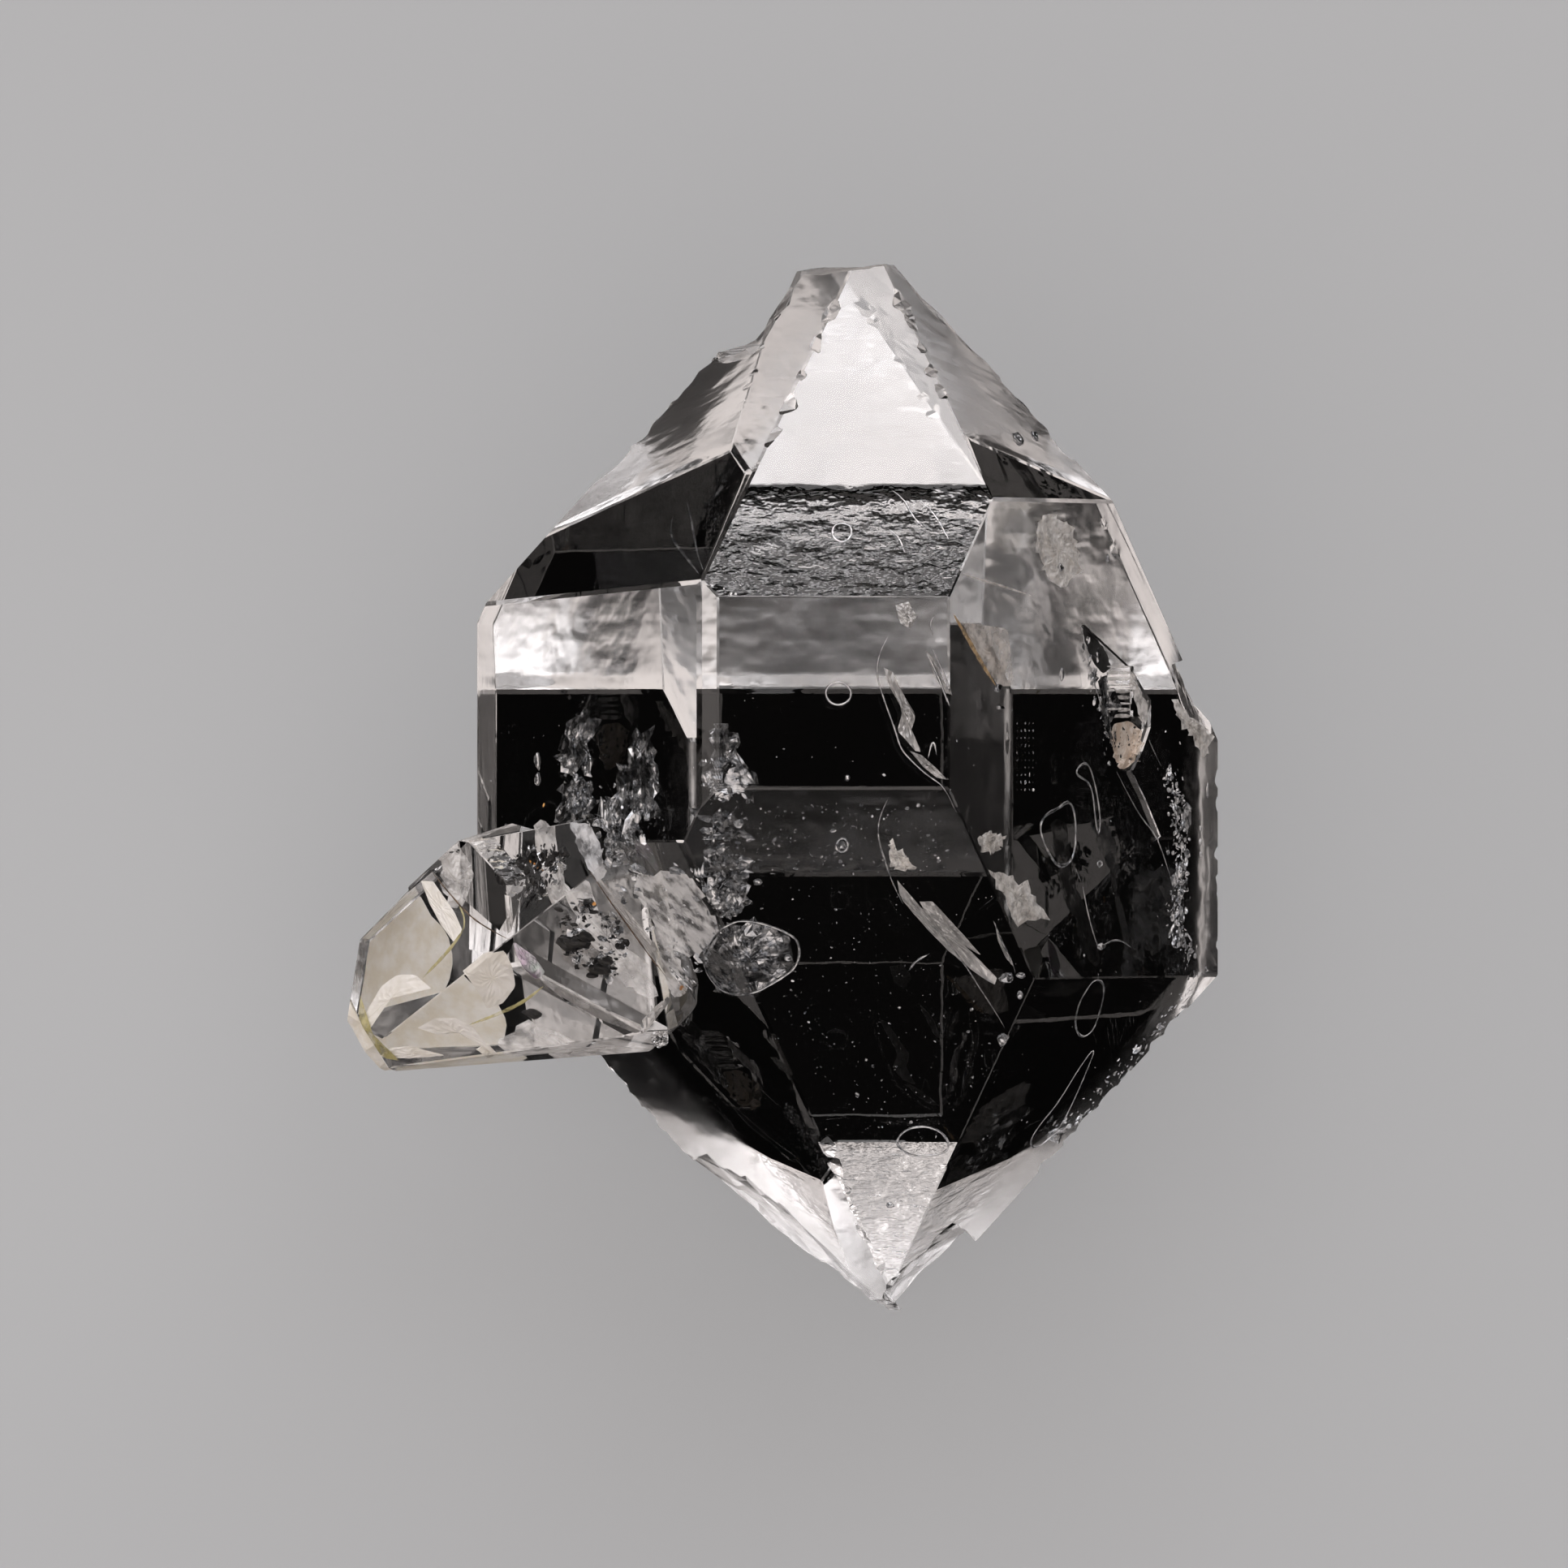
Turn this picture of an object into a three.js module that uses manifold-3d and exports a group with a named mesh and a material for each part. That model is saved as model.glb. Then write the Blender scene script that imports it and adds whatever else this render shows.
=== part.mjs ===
// A doubly ended clear quartz crystal with a small crystal grown out of its lower left side, and a
// thin cream crust under the small crystal's tip. Millimetres. +Y runs along the large crystal's
// axis, +Z is up, and its back prism face lies on Z = 0. The origin is below the specimen's middle.
import * as THREE from 'three';
import { mergeVertices } from 'three/addons/utils/BufferGeometryUtils.js';
import Module from 'manifold-3d';

const wasm = await Module();
wasm.setup();

// Driving dimensions of the large crystal
const AXIS_X = 1.24;            // how far right of the specimen's middle the long axis stands
const AXIS_Z = 7.37;            // how high the long axis lies above the resting face
const FACE_SLOPE = 51.79;       // in quartz a pyramid face's normal leans this far from the axis, degrees
// Each side has one prism face, and one pyramid face at each end. The azimuth turns from +Z towards
// +X. Reach is the prism face's distance from the axis. Upper and lower are the heights of its two
// shoulders, where the pyramid faces begin, and upperTurn is how far the upper one is off true.
const SIDES = [
  { name: 'front', azimuth: 0, reach: 7.37, upper: 3.51, lower: -0.08 },
  { name: 'frontRight', azimuth: 60, reach: 5.29, upper: 5.36, lower: -3.67 },
  { name: 'backRight', azimuth: 120, reach: 6.94, upper: 0.85, lower: -3.63 },
  { name: 'back', azimuth: 180, reach: 7.37, upper: 1.78, lower: -4.39 },
  { name: 'backLeft', azimuth: -120, reach: 6.31, upper: 3.06, lower: -4.47 },
  { name: 'frontLeft', azimuth: -60, reach: 5.99, upper: 3.59, lower: -1.08, upperTurn: -2 },
];
const NARROW_FACE = [-0.65, 0, 0.76];   // the strip between the front and the left front prism face
const NARROW_FACE_X = -1.24;    // where that strip meets the front prism face
const EDGE_WEAR = 0.012;        // how deep the crystals' edges are worn down
const STEP_HEIGHT = 0.07;       // how far a growth step stands out of its face

// Driving dimensions of the small crystal: the corner nearest the viewer, where its facets meet
const SMALL_APEX = [-5.21, -2.94, 9.64];
const CRUST_THICKNESS = 0.3;
const CRUST_GAP = 0.02;
const TIP_TOP_FACETS = 3;      // how many of the tip's facets face the viewer

const radians = THREE.MathUtils.degToRad;
const vector = (xyz) => new THREE.Vector3(...xyz);

// The half of space on the inner side of a plane through a point, with its outward normal
function halfSpace(point, outward) {
  const normal = vector(outward).normalize();
  return { normal, offset: normal.dot(vector(point)) };
}

// Where three planes meet, or null if two of them are parallel
function meetingPoint(a, b, c) {
  const bc = b.normal.clone().cross(c.normal);
  const determinant = a.normal.dot(bc);
  if (Math.abs(determinant) < 1e-9) return null;
  const point = bc.multiplyScalar(a.offset);
  point.addScaledVector(c.normal.clone().cross(a.normal), b.offset);
  point.addScaledVector(a.normal.clone().cross(b.normal), c.offset);
  return point.divideScalar(determinant);
}

// The corners of the convex solid that half spaces leave: points on three planes and inside the rest
function cornersOf(halfSpaces) {
  const corners = [];
  for (let i = 0; i < halfSpaces.length; i++) {
    for (let j = i + 1; j < halfSpaces.length; j++) {
      for (let k = j + 1; k < halfSpaces.length; k++) {
        const point = meetingPoint(halfSpaces[i], halfSpaces[j], halfSpaces[k]);
        if (!point) continue;
        const inside = halfSpaces.every((face) => face.normal.dot(point) <= face.offset + 1e-6);
        const known = corners.some((corner) => corner.distanceTo(point) < 1e-5);
        if (inside && !known) corners.push(point);
      }
    }
  }
  return corners;
}

function touches(face, corner) {
  return Math.abs(face.normal.dot(corner) - face.offset) < 1e-5;
}

// A face's triangles: a fan over its corners, taken in turning order about its normal
function faceFan(face, corners) {
  const onFace = corners.map((_, index) => index).filter((index) => touches(face, corners[index]));
  if (onFace.length < 3) return [];
  const middle = new THREE.Vector3();
  onFace.forEach((index) => middle.addScaledVector(corners[index], 1 / onFace.length));
  const east = corners[onFace[0]].clone().sub(middle).normalize();
  const north = face.normal.clone().cross(east);
  const bearing = (index) => {
    const spoke = corners[index].clone().sub(middle);
    return Math.atan2(spoke.dot(north), spoke.dot(east));
  };
  onFace.sort((a, b) => bearing(a) - bearing(b));
  const triangles = [];
  for (let i = 1; i + 1 < onFace.length; i++) {
    triangles.push(onFace[0], onFace[i], onFace[i + 1]);
  }
  return triangles;
}

// One more half space for each edge, square across it, which wears the edge down by a small depth
function wornEdges(halfSpaces) {
  const corners = cornersOf(halfSpaces);
  const worn = [];
  halfSpaces.forEach((a, i) => halfSpaces.slice(i + 1).forEach((b) => {
    const shared = corners.filter((corner) => touches(a, corner) && touches(b, corner));
    if (shared.length < 2) return;
    const normal = a.normal.clone().add(b.normal).normalize();
    const depth = EDGE_WEAR * (0.6 + 0.8 * ((worn.length * 7) % 5) / 4);
    worn.push({ normal, offset: normal.dot(shared[0]) - depth });
  }));
  return [...halfSpaces, ...worn];
}

// The convex solid of a list of half spaces, each moved out by a margin
function facetedSolid(halfSpaces, margin = 0) {
  const faces = halfSpaces.map(({ normal, offset }) => ({ normal, offset: offset + margin }));
  const corners = cornersOf(faces);
  const triangles = faces.flatMap((face) => faceFan(face, corners));
  return solidFrom(corners.flatMap((corner) => corner.toArray()), triangles);
}

function solidFrom(positions, triangles) {
  return new wasm.Manifold(new wasm.Mesh({
    numProp: 3,
    vertProperties: new Float32Array(positions),
    triVerts: new Uint32Array(triangles),
  }));
}

function solidOf(geometry) {
  geometry.deleteAttribute('normal');
  geometry.deleteAttribute('uv');
  const merged = mergeVertices(geometry, 1e-5);
  return solidFrom(merged.attributes.position.array, merged.index.array);
}

const joined = (solids) => solids.reduce((all, solid) => all.add(solid));
const cutBy = (solid, cutters) => cutters.reduce((rest, cutter) => rest.subtract(cutter), solid);

// The large crystal: six prism faces, six pyramid faces at each end, and a narrow strip in front
function largeCrystalFaces() {
  const slope = radians(FACE_SLOPE);
  const faces = SIDES.flatMap((side) => {
    const outward = (turn) => {
      const azimuth = radians(side.azimuth + turn);
      return new THREE.Vector3(Math.sin(azimuth), 0, Math.cos(azimuth));
    };
    const shoulder = (height) => {
      const onAxis = new THREE.Vector3(AXIS_X, height, AXIS_Z);
      return onAxis.addScaledVector(outward(0), side.reach).toArray();
    };
    const leaning = (turn, end) => {
      const normal = outward(turn).multiplyScalar(Math.sin(slope));
      return normal.setY(end * Math.cos(slope)).toArray();
    };
    return [
      { ...halfSpace(shoulder(0), outward(0).toArray()), name: `${side.name} prism` },
      { ...halfSpace(shoulder(side.upper), leaning(side.upperTurn ?? 0, 1)), name: `${side.name} upper` },
      { ...halfSpace(shoulder(side.lower), leaning(0, -1)), name: `${side.name} lower` },
    ];
  });
  const frontTop = AXIS_Z + SIDES[0].reach;
  return [...faces, halfSpace([NARROW_FACE_X, 0, frontTop], NARROW_FACE)];
}

// The upright walls of a convex outline, given from above by its corners in counterclockwise order
function wallsAround(corners) {
  return corners.map(([x, y], index) => {
    const [nextX, nextY] = corners[(index + 1) % corners.length];
    return halfSpace([x, y, 0], [nextY - y, x - nextX, 0]);
  });
}

// A growth step: a thin plate that lies on one face of the crystal and ends at the other faces
function growthStep({ on, corners, height = STEP_HEIGHT }) {
  const faces = largeCrystalFaces().map((face) => {
    return face.name === on ? { ...face, offset: face.offset + height } : face;
  });
  return facetedSolid([...faces, ...wallsAround(corners)]);
}

// A sunken step: what is missing where a face stopped growing, down to a flat floor
function sunkenStep({ on, corners, depth }) {
  const face = largeCrystalFaces().find(({ name }) => name === on);
  const opposite = { normal: face.normal.clone().negate(), offset: depth - face.offset };
  return facetedSolid([opposite, { ...face, offset: face.offset + 1 }, ...wallsAround(corners)]);
}

// The small crystal's longer half: a left facet and a lower facet that meet in an edge from the
// apex down to the tip, narrow facets round the outline, and a plain back
function smallCrystalTipFaces() {
  return [
    halfSpace(SMALL_APEX, [-1.07, 0.15, 1]),
    halfSpace(SMALL_APEX, [-0.23, -0.92, 1]),
    halfSpace([-7.62, -4.88, 7.3], [-1.7, -1.2, 1]),
    halfSpace([-7.99, -2.86, 6.65], [-0.75, 1.155, -0.45]),
    halfSpace([-8.31, -4.34, 6.51], [-1, 0.17, -0.5]),
    halfSpace([-7.98, -4.76, 6.94], [-0.85, -0.52, -0.2]),
    halfSpace([-6, -1.24, 7], [-0.08, 1, -0.1]),
    halfSpace([-6, -3, 5], [-0.12, 0.1, -1]),
    ...smallCrystalEnd(),
  ];
}

// The small crystal's other half, which stands a little proud of the first: a clear left facet, the
// broad facet over the black specks, a thin bright side facet below it, and a narrow upper facet
function smallCrystalShoulderFaces() {
  return [
    halfSpace(SMALL_APEX, [-1.43, -0.27, 1]),
    halfSpace(SMALL_APEX, [0.175, -0.197, 1]),
    halfSpace([-3.74, -4.11, 9.15], [-0.75, -1.86, 1]),
    halfSpace([-5.12, -3.05, 9.58], [-0.95, -0.55, 1]),
    halfSpace([-5.02, -1.1, 9.2], [-0.16, 0.9, 1]),
    halfSpace([-5.02, -0.89, 8.9], [-0.68, 3.94, 1]),
    halfSpace([-5.02, -0.95, 7.4], [-0.1, 0.8, -0.6]),
    halfSpace([-6.18, -1.07, 8.76], [-0.75, 1.57, -0.4]),
    halfSpace([-5.5, -2, 6.6], [-0.3, 0, -1]),
    ...smallCrystalEnd(),
  ];
}

// What the small crystal's halves share: two short facets where it runs out over the large
// crystal, and the two narrow facets along its lower outline
function smallCrystalEnd() {
  return [
    halfSpace([-2.15, -4.05, 8.8], [1, -0.1, 0.3]),
    halfSpace([-2.37, -4.87, 8], [0.55, -0.8, 0.05]),
    halfSpace([-5.64, -5.16, 7.5], [0.47, -6, 1]),
    halfSpace([-5.64, -5.35, 6.39], [0.06, -0.8, -0.6]),
  ];
}

// Uneven heights from three crossing waves, between about -1 and 1
function unevenness(u, v, seed) {
  const first = Math.sin(2.1 * u + 1.3 * v + seed);
  const second = Math.sin(-1.7 * u + 3.1 * v + 2.3 * seed);
  const third = Math.sin(4.3 * u + 2.9 * v + 4.1 * seed);
  return (first + 0.7 * second + 0.45 * third) / 2;
}

// What a blow broke off: a block whose inner face is uneven and bulges a little into the crystal.
// Its width runs level across the way it faces, and its length runs up and down
function brokenPiece({ at, facing, width, length, bulge, seed }) {
  const cells = 10;
  const thickness = 4;
  const geometry = new THREE.BoxGeometry(width, length, thickness, cells, cells, 1);
  const points = geometry.attributes.position;
  const shift = 0.3 * width / cells;
  for (let i = 0; i < points.count; i++) {
    const [u, v] = [points.getX(i), points.getY(i)];
    const crown = (1 - (2 * u / width) ** 2) * (1 - (2 * v / length) ** 2);
    const sunk = bulge * (crown + 0.6 * unevenness(2.6 * u, 2.6 * v, seed));
    const drift = crown > 0 ? shift : 0;
    const inner = points.getZ(i) < 0;
    points.setX(i, u + drift * unevenness(9 * u, 7 * v, seed + 1));
    points.setY(i, v + drift * unevenness(8 * u, 9 * v, seed + 2));
    points.setZ(i, inner ? -sunk : thickness);
  }
  const outward = vector(facing).normalize();
  const level = new THREE.Vector3(0, 0, 1).cross(outward).normalize();
  const upright = outward.clone().cross(level);
  geometry.applyMatrix4(new THREE.Matrix4().makeBasis(level, upright, outward));
  geometry.translate(...at);
  return solidOf(geometry);
}

// A rough lump, for the scar of a chip or for a knob that grew
function lump({ at, radii, seed, detail = 2 }) {
  const geometry = new THREE.IcosahedronGeometry(1, detail);
  const points = geometry.attributes.position;
  const point = new THREE.Vector3();
  for (let i = 0; i < points.count; i++) {
    point.fromBufferAttribute(points, i);
    const height = 1 + 0.16 * unevenness(2.4 * point.x + point.z, 2.4 * point.y - point.z, seed);
    point.multiplyScalar(height).multiply(vector(radii)).add(vector(at));
    points.setXYZ(i, ...point.toArray());
  }
  return solidOf(geometry);
}

// The pieces broken off the two ends and off the edges beside them
function brokenEnds() {
  return [
    { at: [1.7, 9.92, 8.4], facing: [-0.14, 1, 0.06], width: 5.6, length: 5, bulge: 0.07, seed: 1 },
    { at: [3.3, 8.6, 9.2], facing: [0.71, 0.7, 0.15], width: 4.4, length: 2.2, bulge: 0.06, seed: 3 },
    { at: [7.72, 1.6, 6.9], facing: [0.92, 0.38, 0.1], width: 1.5, length: 1.9, bulge: 0.06, seed: 4 },
    { at: [0.2, -8.62, 4.6], facing: [-0.62, -0.77, 0.18], width: 4.6, length: 3.2, bulge: 0.1, seed: 5 },
    { at: [2.7, -9.14, 5.9], facing: [0.68, -0.72, 0.15], width: 1.9, length: 3.2, bulge: 0.08, seed: 6 },
    { at: [1.9, -9.92, 6.3], facing: [-0.2, -1, 0.1], width: 3.4, length: 3.4, bulge: 0.04, seed: 7 },
  ].map(brokenPiece);
}

// The large scallop struck out of the upper left ridge
function ridgeScallop() {
  return lump({ at: [-1.4, 9.8, 7.9], radii: [1.82, 1.82, 2.2], seed: 2, detail: 4 });
}

// A row of shallow scars along the edge between two faces of the large crystal. Size is a scar's
// radius, and bite is how deep it goes into the edge
function bruisedEdge({ between, from, to, count, size, bite, seed }) {
  const [a, b] = between.map((name) => largeCrystalFaces().find((face) => face.name === name));
  const outward = a.normal.clone().add(b.normal).normalize();
  return Array.from({ length: count }, (_, index) => {
    const step = (index + 0.5 + 0.35 * unevenness(index, 2 * index, seed)) / count;
    const height = THREE.MathUtils.lerp(from, to, step);
    const level = { normal: new THREE.Vector3(0, 1, 0), offset: height };
    const radius = size * (1 + 0.5 * unevenness(3 * index, index, seed + 3));
    const deep = bite * (1 + 0.5 * unevenness(index, 5 * index, seed + 5));
    const at = meetingPoint(a, b, level).addScaledVector(outward, 0.9 * radius - deep);
    return lump({ at: at.toArray(), radii: [radius, 0.9 * radius, radius], seed: seed + index });
  });
}

function bruisedEdges() {
  const [topLeft, topRight] = ['frontLeft upper', 'frontRight upper'];
  const [footLeft, footRight] = ['frontLeft lower', 'frontRight lower'];
  const [bellyRight, backRight] = ['frontRight prism', 'backRight prism'];
  const rows = [
    { between: [topLeft, 'backLeft upper'], from: 5.9, to: 8.3, count: 8, size: 0.55, bite: 0.17 },
    { between: [topLeft, 'front upper'], from: 6.2, to: 9.2, count: 5, size: 0.6, bite: 0.05 },
    { between: ['front upper', topRight], from: 7.2, to: 9.3, count: 5, size: 0.5, bite: 0.07 },
    { between: [topRight, 'backRight upper'], from: 6, to: 7.6, count: 4, size: 0.6, bite: 0.07 },
    { between: [bellyRight, backRight], from: -3.4, to: 0.4, count: 6, size: 0.4, bite: 0.03 },
    { between: [footRight, 'backRight lower'], from: -7.4, to: -4, count: 8, size: 0.5, bite: 0.07 },
    { between: [footLeft, 'backLeft lower'], from: -7.4, to: -5, count: 6, size: 0.55, bite: 0.1 },
    { between: [footLeft, 'front lower'], from: -9.2, to: -6.6, count: 6, size: 0.5, bite: 0.04 },
    { between: ['back upper', 'backRight upper'], from: 4, to: 8, count: 5, size: 0.6, bite: 0.06 },
    { between: ['back lower', 'backLeft lower'], from: -8, to: -5.5, count: 4, size: 0.6, bite: 0.06 },
  ];
  return rows.flatMap((row, index) => bruisedEdge({ ...row, seed: 11 + index }));
}

// The striated pit in the right front prism face: a boat-shaped hollow with a row of narrow steps
// across it, a deeper floor below them, and a shallow tail that runs down from its foot
function striatedPit() {
  const on = 'frontRight prism';
  const top = 2.24;
  const stripe = 0.12;
  const steps = Array.from({ length: 8 }, (_, index) => {
    const high = top - index * stripe;
    const corners = [[6.12, high - stripe], [6.57, high - stripe], [6.57, high], [6.12, high]];
    return { corners, depth: 0.14 + 0.05 * ((index * 2) % 3) };
  });
  const boat = [[5.63, 3.01], [5.56, 2.55], [5.64, 1.85], [5.87, 1.24], [6.28, 0.25], [6.57, 0.26],
    [6.75, 0.62], [6.91, 1.08], [6.91, 1.59], [6.52, 2.21]];
  const floor = [[6.3, 0.4], [6.55, 0.4], [6.8, 1.05], [6.8, 1.28], [6.2, 1.28]];
  const tail = [[6.28, 0.25], [6.42, -0.15], [7, -1.1], [7.14, -1], [6.85, -0.3], [6.57, 0.26]];
  return [
    { corners: boat, depth: 0.12 },
    { corners: floor, depth: 0.2 },
    { corners: tail, depth: 0.06 },
    ...steps,
  ].map((step) => sunkenStep({ on, ...step }));
}

// Growth steps on the faces at the lower left and the lower right of the resting face
function growthSteps() {
  return [
    { on: 'backLeft prism', corners: [[-5.5, -3.2], [-3.2, -3.6], [-2.6, -0.4], [-5.5, 0.3]] },
    { on: 'backLeft prism', corners: [[-5.2, -2.2], [-4.1, -2.4], [-3.9, -0.9], [-5.3, -0.6]], height: 0.12 },
    { on: 'backRight prism', corners: [[5.6, -3.2], [7.9, -3.5], [7.9, -0.9], [6.3, -1.2]] },
  ].map(growthStep);
}

// Knobs of quartz along the seam between the two crystals
function seamKnobs() {
  return [
    { at: [-3.95, -0.98, 9.75], radii: [0.34, 0.2, 0.2], seed: 21 },
    { at: [-3.62, -1.75, 9.55], radii: [0.2, 0.3, 0.16], seed: 22 },
    { at: [-2.95, -2.7, 9.15], radii: [0.18, 0.26, 0.15], seed: 23 },
    { at: [-2.3, -3.75, 8.85], radii: [0.14, 0.22, 0.14], seed: 24 },
    { at: [-2.35, -4.85, 8.05], radii: [0.16, 0.16, 0.2], seed: 25 },
  ].map(lump);
}

function quartzCrystal() {
  const large = joined([facetedSolid(wornEdges(largeCrystalFaces())), ...growthSteps()]);
  const small = joined([
    facetedSolid(wornEdges(smallCrystalTipFaces())),
    facetedSolid(wornEdges(smallCrystalShoulderFaces())),
    ...seamKnobs(),
  ]);
  return cutBy(large, [...brokenEnds(), ridgeScallop(), ...bruisedEdges(), ...striatedPit()]).add(small);
}

// The crust: a thin coat on the back of the small crystal's tip, no wider than its outline but for
// a narrow rim at the lower left, and nowhere above the facets that face the viewer
function dolomiteCrust() {
  const tip = smallCrystalTipFaces();
  const patch = lump({ at: [-6.9, -3.9, 5.6], radii: [1.9, 1.75, 1.9], seed: 3, detail: 3 });
  const outline = facetedSolid([
    halfSpace([-7.99, -2.9, 0], [-0.72, 0.7, 0]),
    halfSpace([-8.31, -4.34, 0], [-1, 0.16, 0]),
    halfSpace([-8.33, -4.6, 0], [-1, 0, 0]),
    halfSpace([-8.13, -5.14, 0], [-0.89, -0.46, 0]),
    halfSpace([-7.6, -5.47, 0], [0.08, -1, 0]),
    halfSpace([0, 0, 0], [1, 0, 0]),
    halfSpace([0, 0, 0], [0, 1, 0]),
    halfSpace([0, 0, 0], [0, 0, -1]),
    ...tip.slice(0, TIP_TOP_FACETS),
  ]);
  const coat = facetedSolid(tip, CRUST_THICKNESS).intersect(patch).intersect(outline);
  return cutBy(coat, [
    facetedSolid(tip, CRUST_GAP),
    facetedSolid(smallCrystalShoulderFaces(), CRUST_GAP),
    facetedSolid(largeCrystalFaces(), CRUST_GAP),
  ]);
}

function meshOf(solid, name, material) {
  const data = solid.getMesh();
  const geometry = new THREE.BufferGeometry();
  geometry.setAttribute('position', new THREE.BufferAttribute(data.vertProperties, 3));
  geometry.setIndex(new THREE.BufferAttribute(data.triVerts, 1));
  const mesh = new THREE.Mesh(geometry, material);
  mesh.name = name;
  return mesh;
}

const clearQuartz = new THREE.MeshStandardMaterial({ color: 0xf4f6f6, roughness: 0.04, metalness: 0 });
const creamDolomite = new THREE.MeshStandardMaterial({ color: 0xd9cfb8, roughness: 0.55, metalness: 0 });

const specimen = new THREE.Group();
specimen.add(meshOf(quartzCrystal(), 'quartz_crystal', clearQuartz));
specimen.add(meshOf(dolomiteCrust(), 'dolomite_crust', creamDolomite));

export default specimen;
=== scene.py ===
import bpy
import numpy as np
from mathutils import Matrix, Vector
from mathutils.bvhtree import BVHTree


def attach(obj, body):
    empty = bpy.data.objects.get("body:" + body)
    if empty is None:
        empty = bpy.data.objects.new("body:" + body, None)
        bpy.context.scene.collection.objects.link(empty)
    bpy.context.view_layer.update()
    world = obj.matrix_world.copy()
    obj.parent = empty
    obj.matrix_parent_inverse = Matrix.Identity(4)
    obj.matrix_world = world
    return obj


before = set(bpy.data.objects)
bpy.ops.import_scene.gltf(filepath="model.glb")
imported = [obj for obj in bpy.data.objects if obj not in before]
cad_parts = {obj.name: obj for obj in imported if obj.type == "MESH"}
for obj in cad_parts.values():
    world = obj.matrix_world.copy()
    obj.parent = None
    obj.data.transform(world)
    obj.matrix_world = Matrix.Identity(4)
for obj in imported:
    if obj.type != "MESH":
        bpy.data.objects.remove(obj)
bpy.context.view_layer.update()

MM = 0.001

# The camera. Its lens's length and its sensor's width are in millimetres
PHOTO_WIDTH = 29.86 * MM      # how much of the specimen's middle plane the photograph spans
MIDDLE_HEIGHT = 7.37 * MM
LENS_LENGTH = 550
SENSOR_WIDTH = 36
NEAREST_SEEN = 0.01

# The floor
FLOOR_HALF = 0.6
FLOOR_DROP = 0.02 * MM                  # how far it lies below the resting face
PALE_FLOOR = (0.54, 0.57, 0.59, 1)      # as the camera sees it
PAINTED_SHADE_FLOOR = (0.002, 0.002, 0.002, 1)   # painted shade: the floor's colour in the quartz's faces and through them

# The light: its strengths, and which way each thing in the tent lies
TENT_LIGHT = 0.85
FAR_LIGHT = 1.7
LEAST_LIGHT = 0.01
RIGHT_LOSS = 0.94             # share of the light that the tent's right side lacks
LENS_HOLE = (0, -0.06, 0.998)
DARK_FLAG = (0, 0.388, 0.922)
FAR_LAMP = (0, 0.972, 0.235)
FAR_LAMP_LIGHT = 5.5

# The quartz, in millimetres. Each pair runs from where an effect begins to where it is full
QUARTZ_IOR = 1.544
HIDDEN_FACES = (7.2, 6.2)     # down from the smooth faces in front to those behind
OFF_THE_FLOOR = (0.02, 0.3)   # up from the face that it lies on, which is smooth too
CLOUDED_PART = (5.7, 5.2)     # along Y, down the front upper pyramid face
LOW_BREAK = (-4.5, -8.5)      # along Y, towards the lower broken end
HIGH_BREAK = (8.6, 9.8)       # along Y, towards the upper broken end
FRONT_UPPER = (0, 0.618, 0.786)   # which way the front upper pyramid face looks
FLOOR_PASS = 0.7              # share of light let straight through to the floor
INNER_PASS = 0.95             # and to what is seen through the quartz
FINE_RELIEF = 0.03 * MM       # how high the relief of the thin pieces and the crust is
HOLE_ALPHA = 0.06             # how much of the crumpled film is left in its holes

# The inner pieces, in millimetres
FAR_OFF = 30                  # where rays towards the quartz start, above and below it
NO_SIDE = 7                   # the upper side's height where a piece has no quartz below it at all
SKIN_GAP = 0.012              # least depth of an inner piece below the quartz's side
PLATE_COVER = 0.03            # least depth of a plate below it
PLATE_WAVES = 6
WAVE_TURNS = 12               # how fast a plate's waves turn across it
STRAND_STEP = 0.06            # between the rings of a strand
STRAND_SIDES = 8
BEAD = 0.35                   # between a strand's thick places
LUMP_DEPTH = 0.05
DOWN, UP = Vector((0, 0, -1)), Vector((0, 0, 1))


def socket(node, name, value):
    """Sets a constant on a shader's own socket."""
    node.inputs[name].default_value = value


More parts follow.
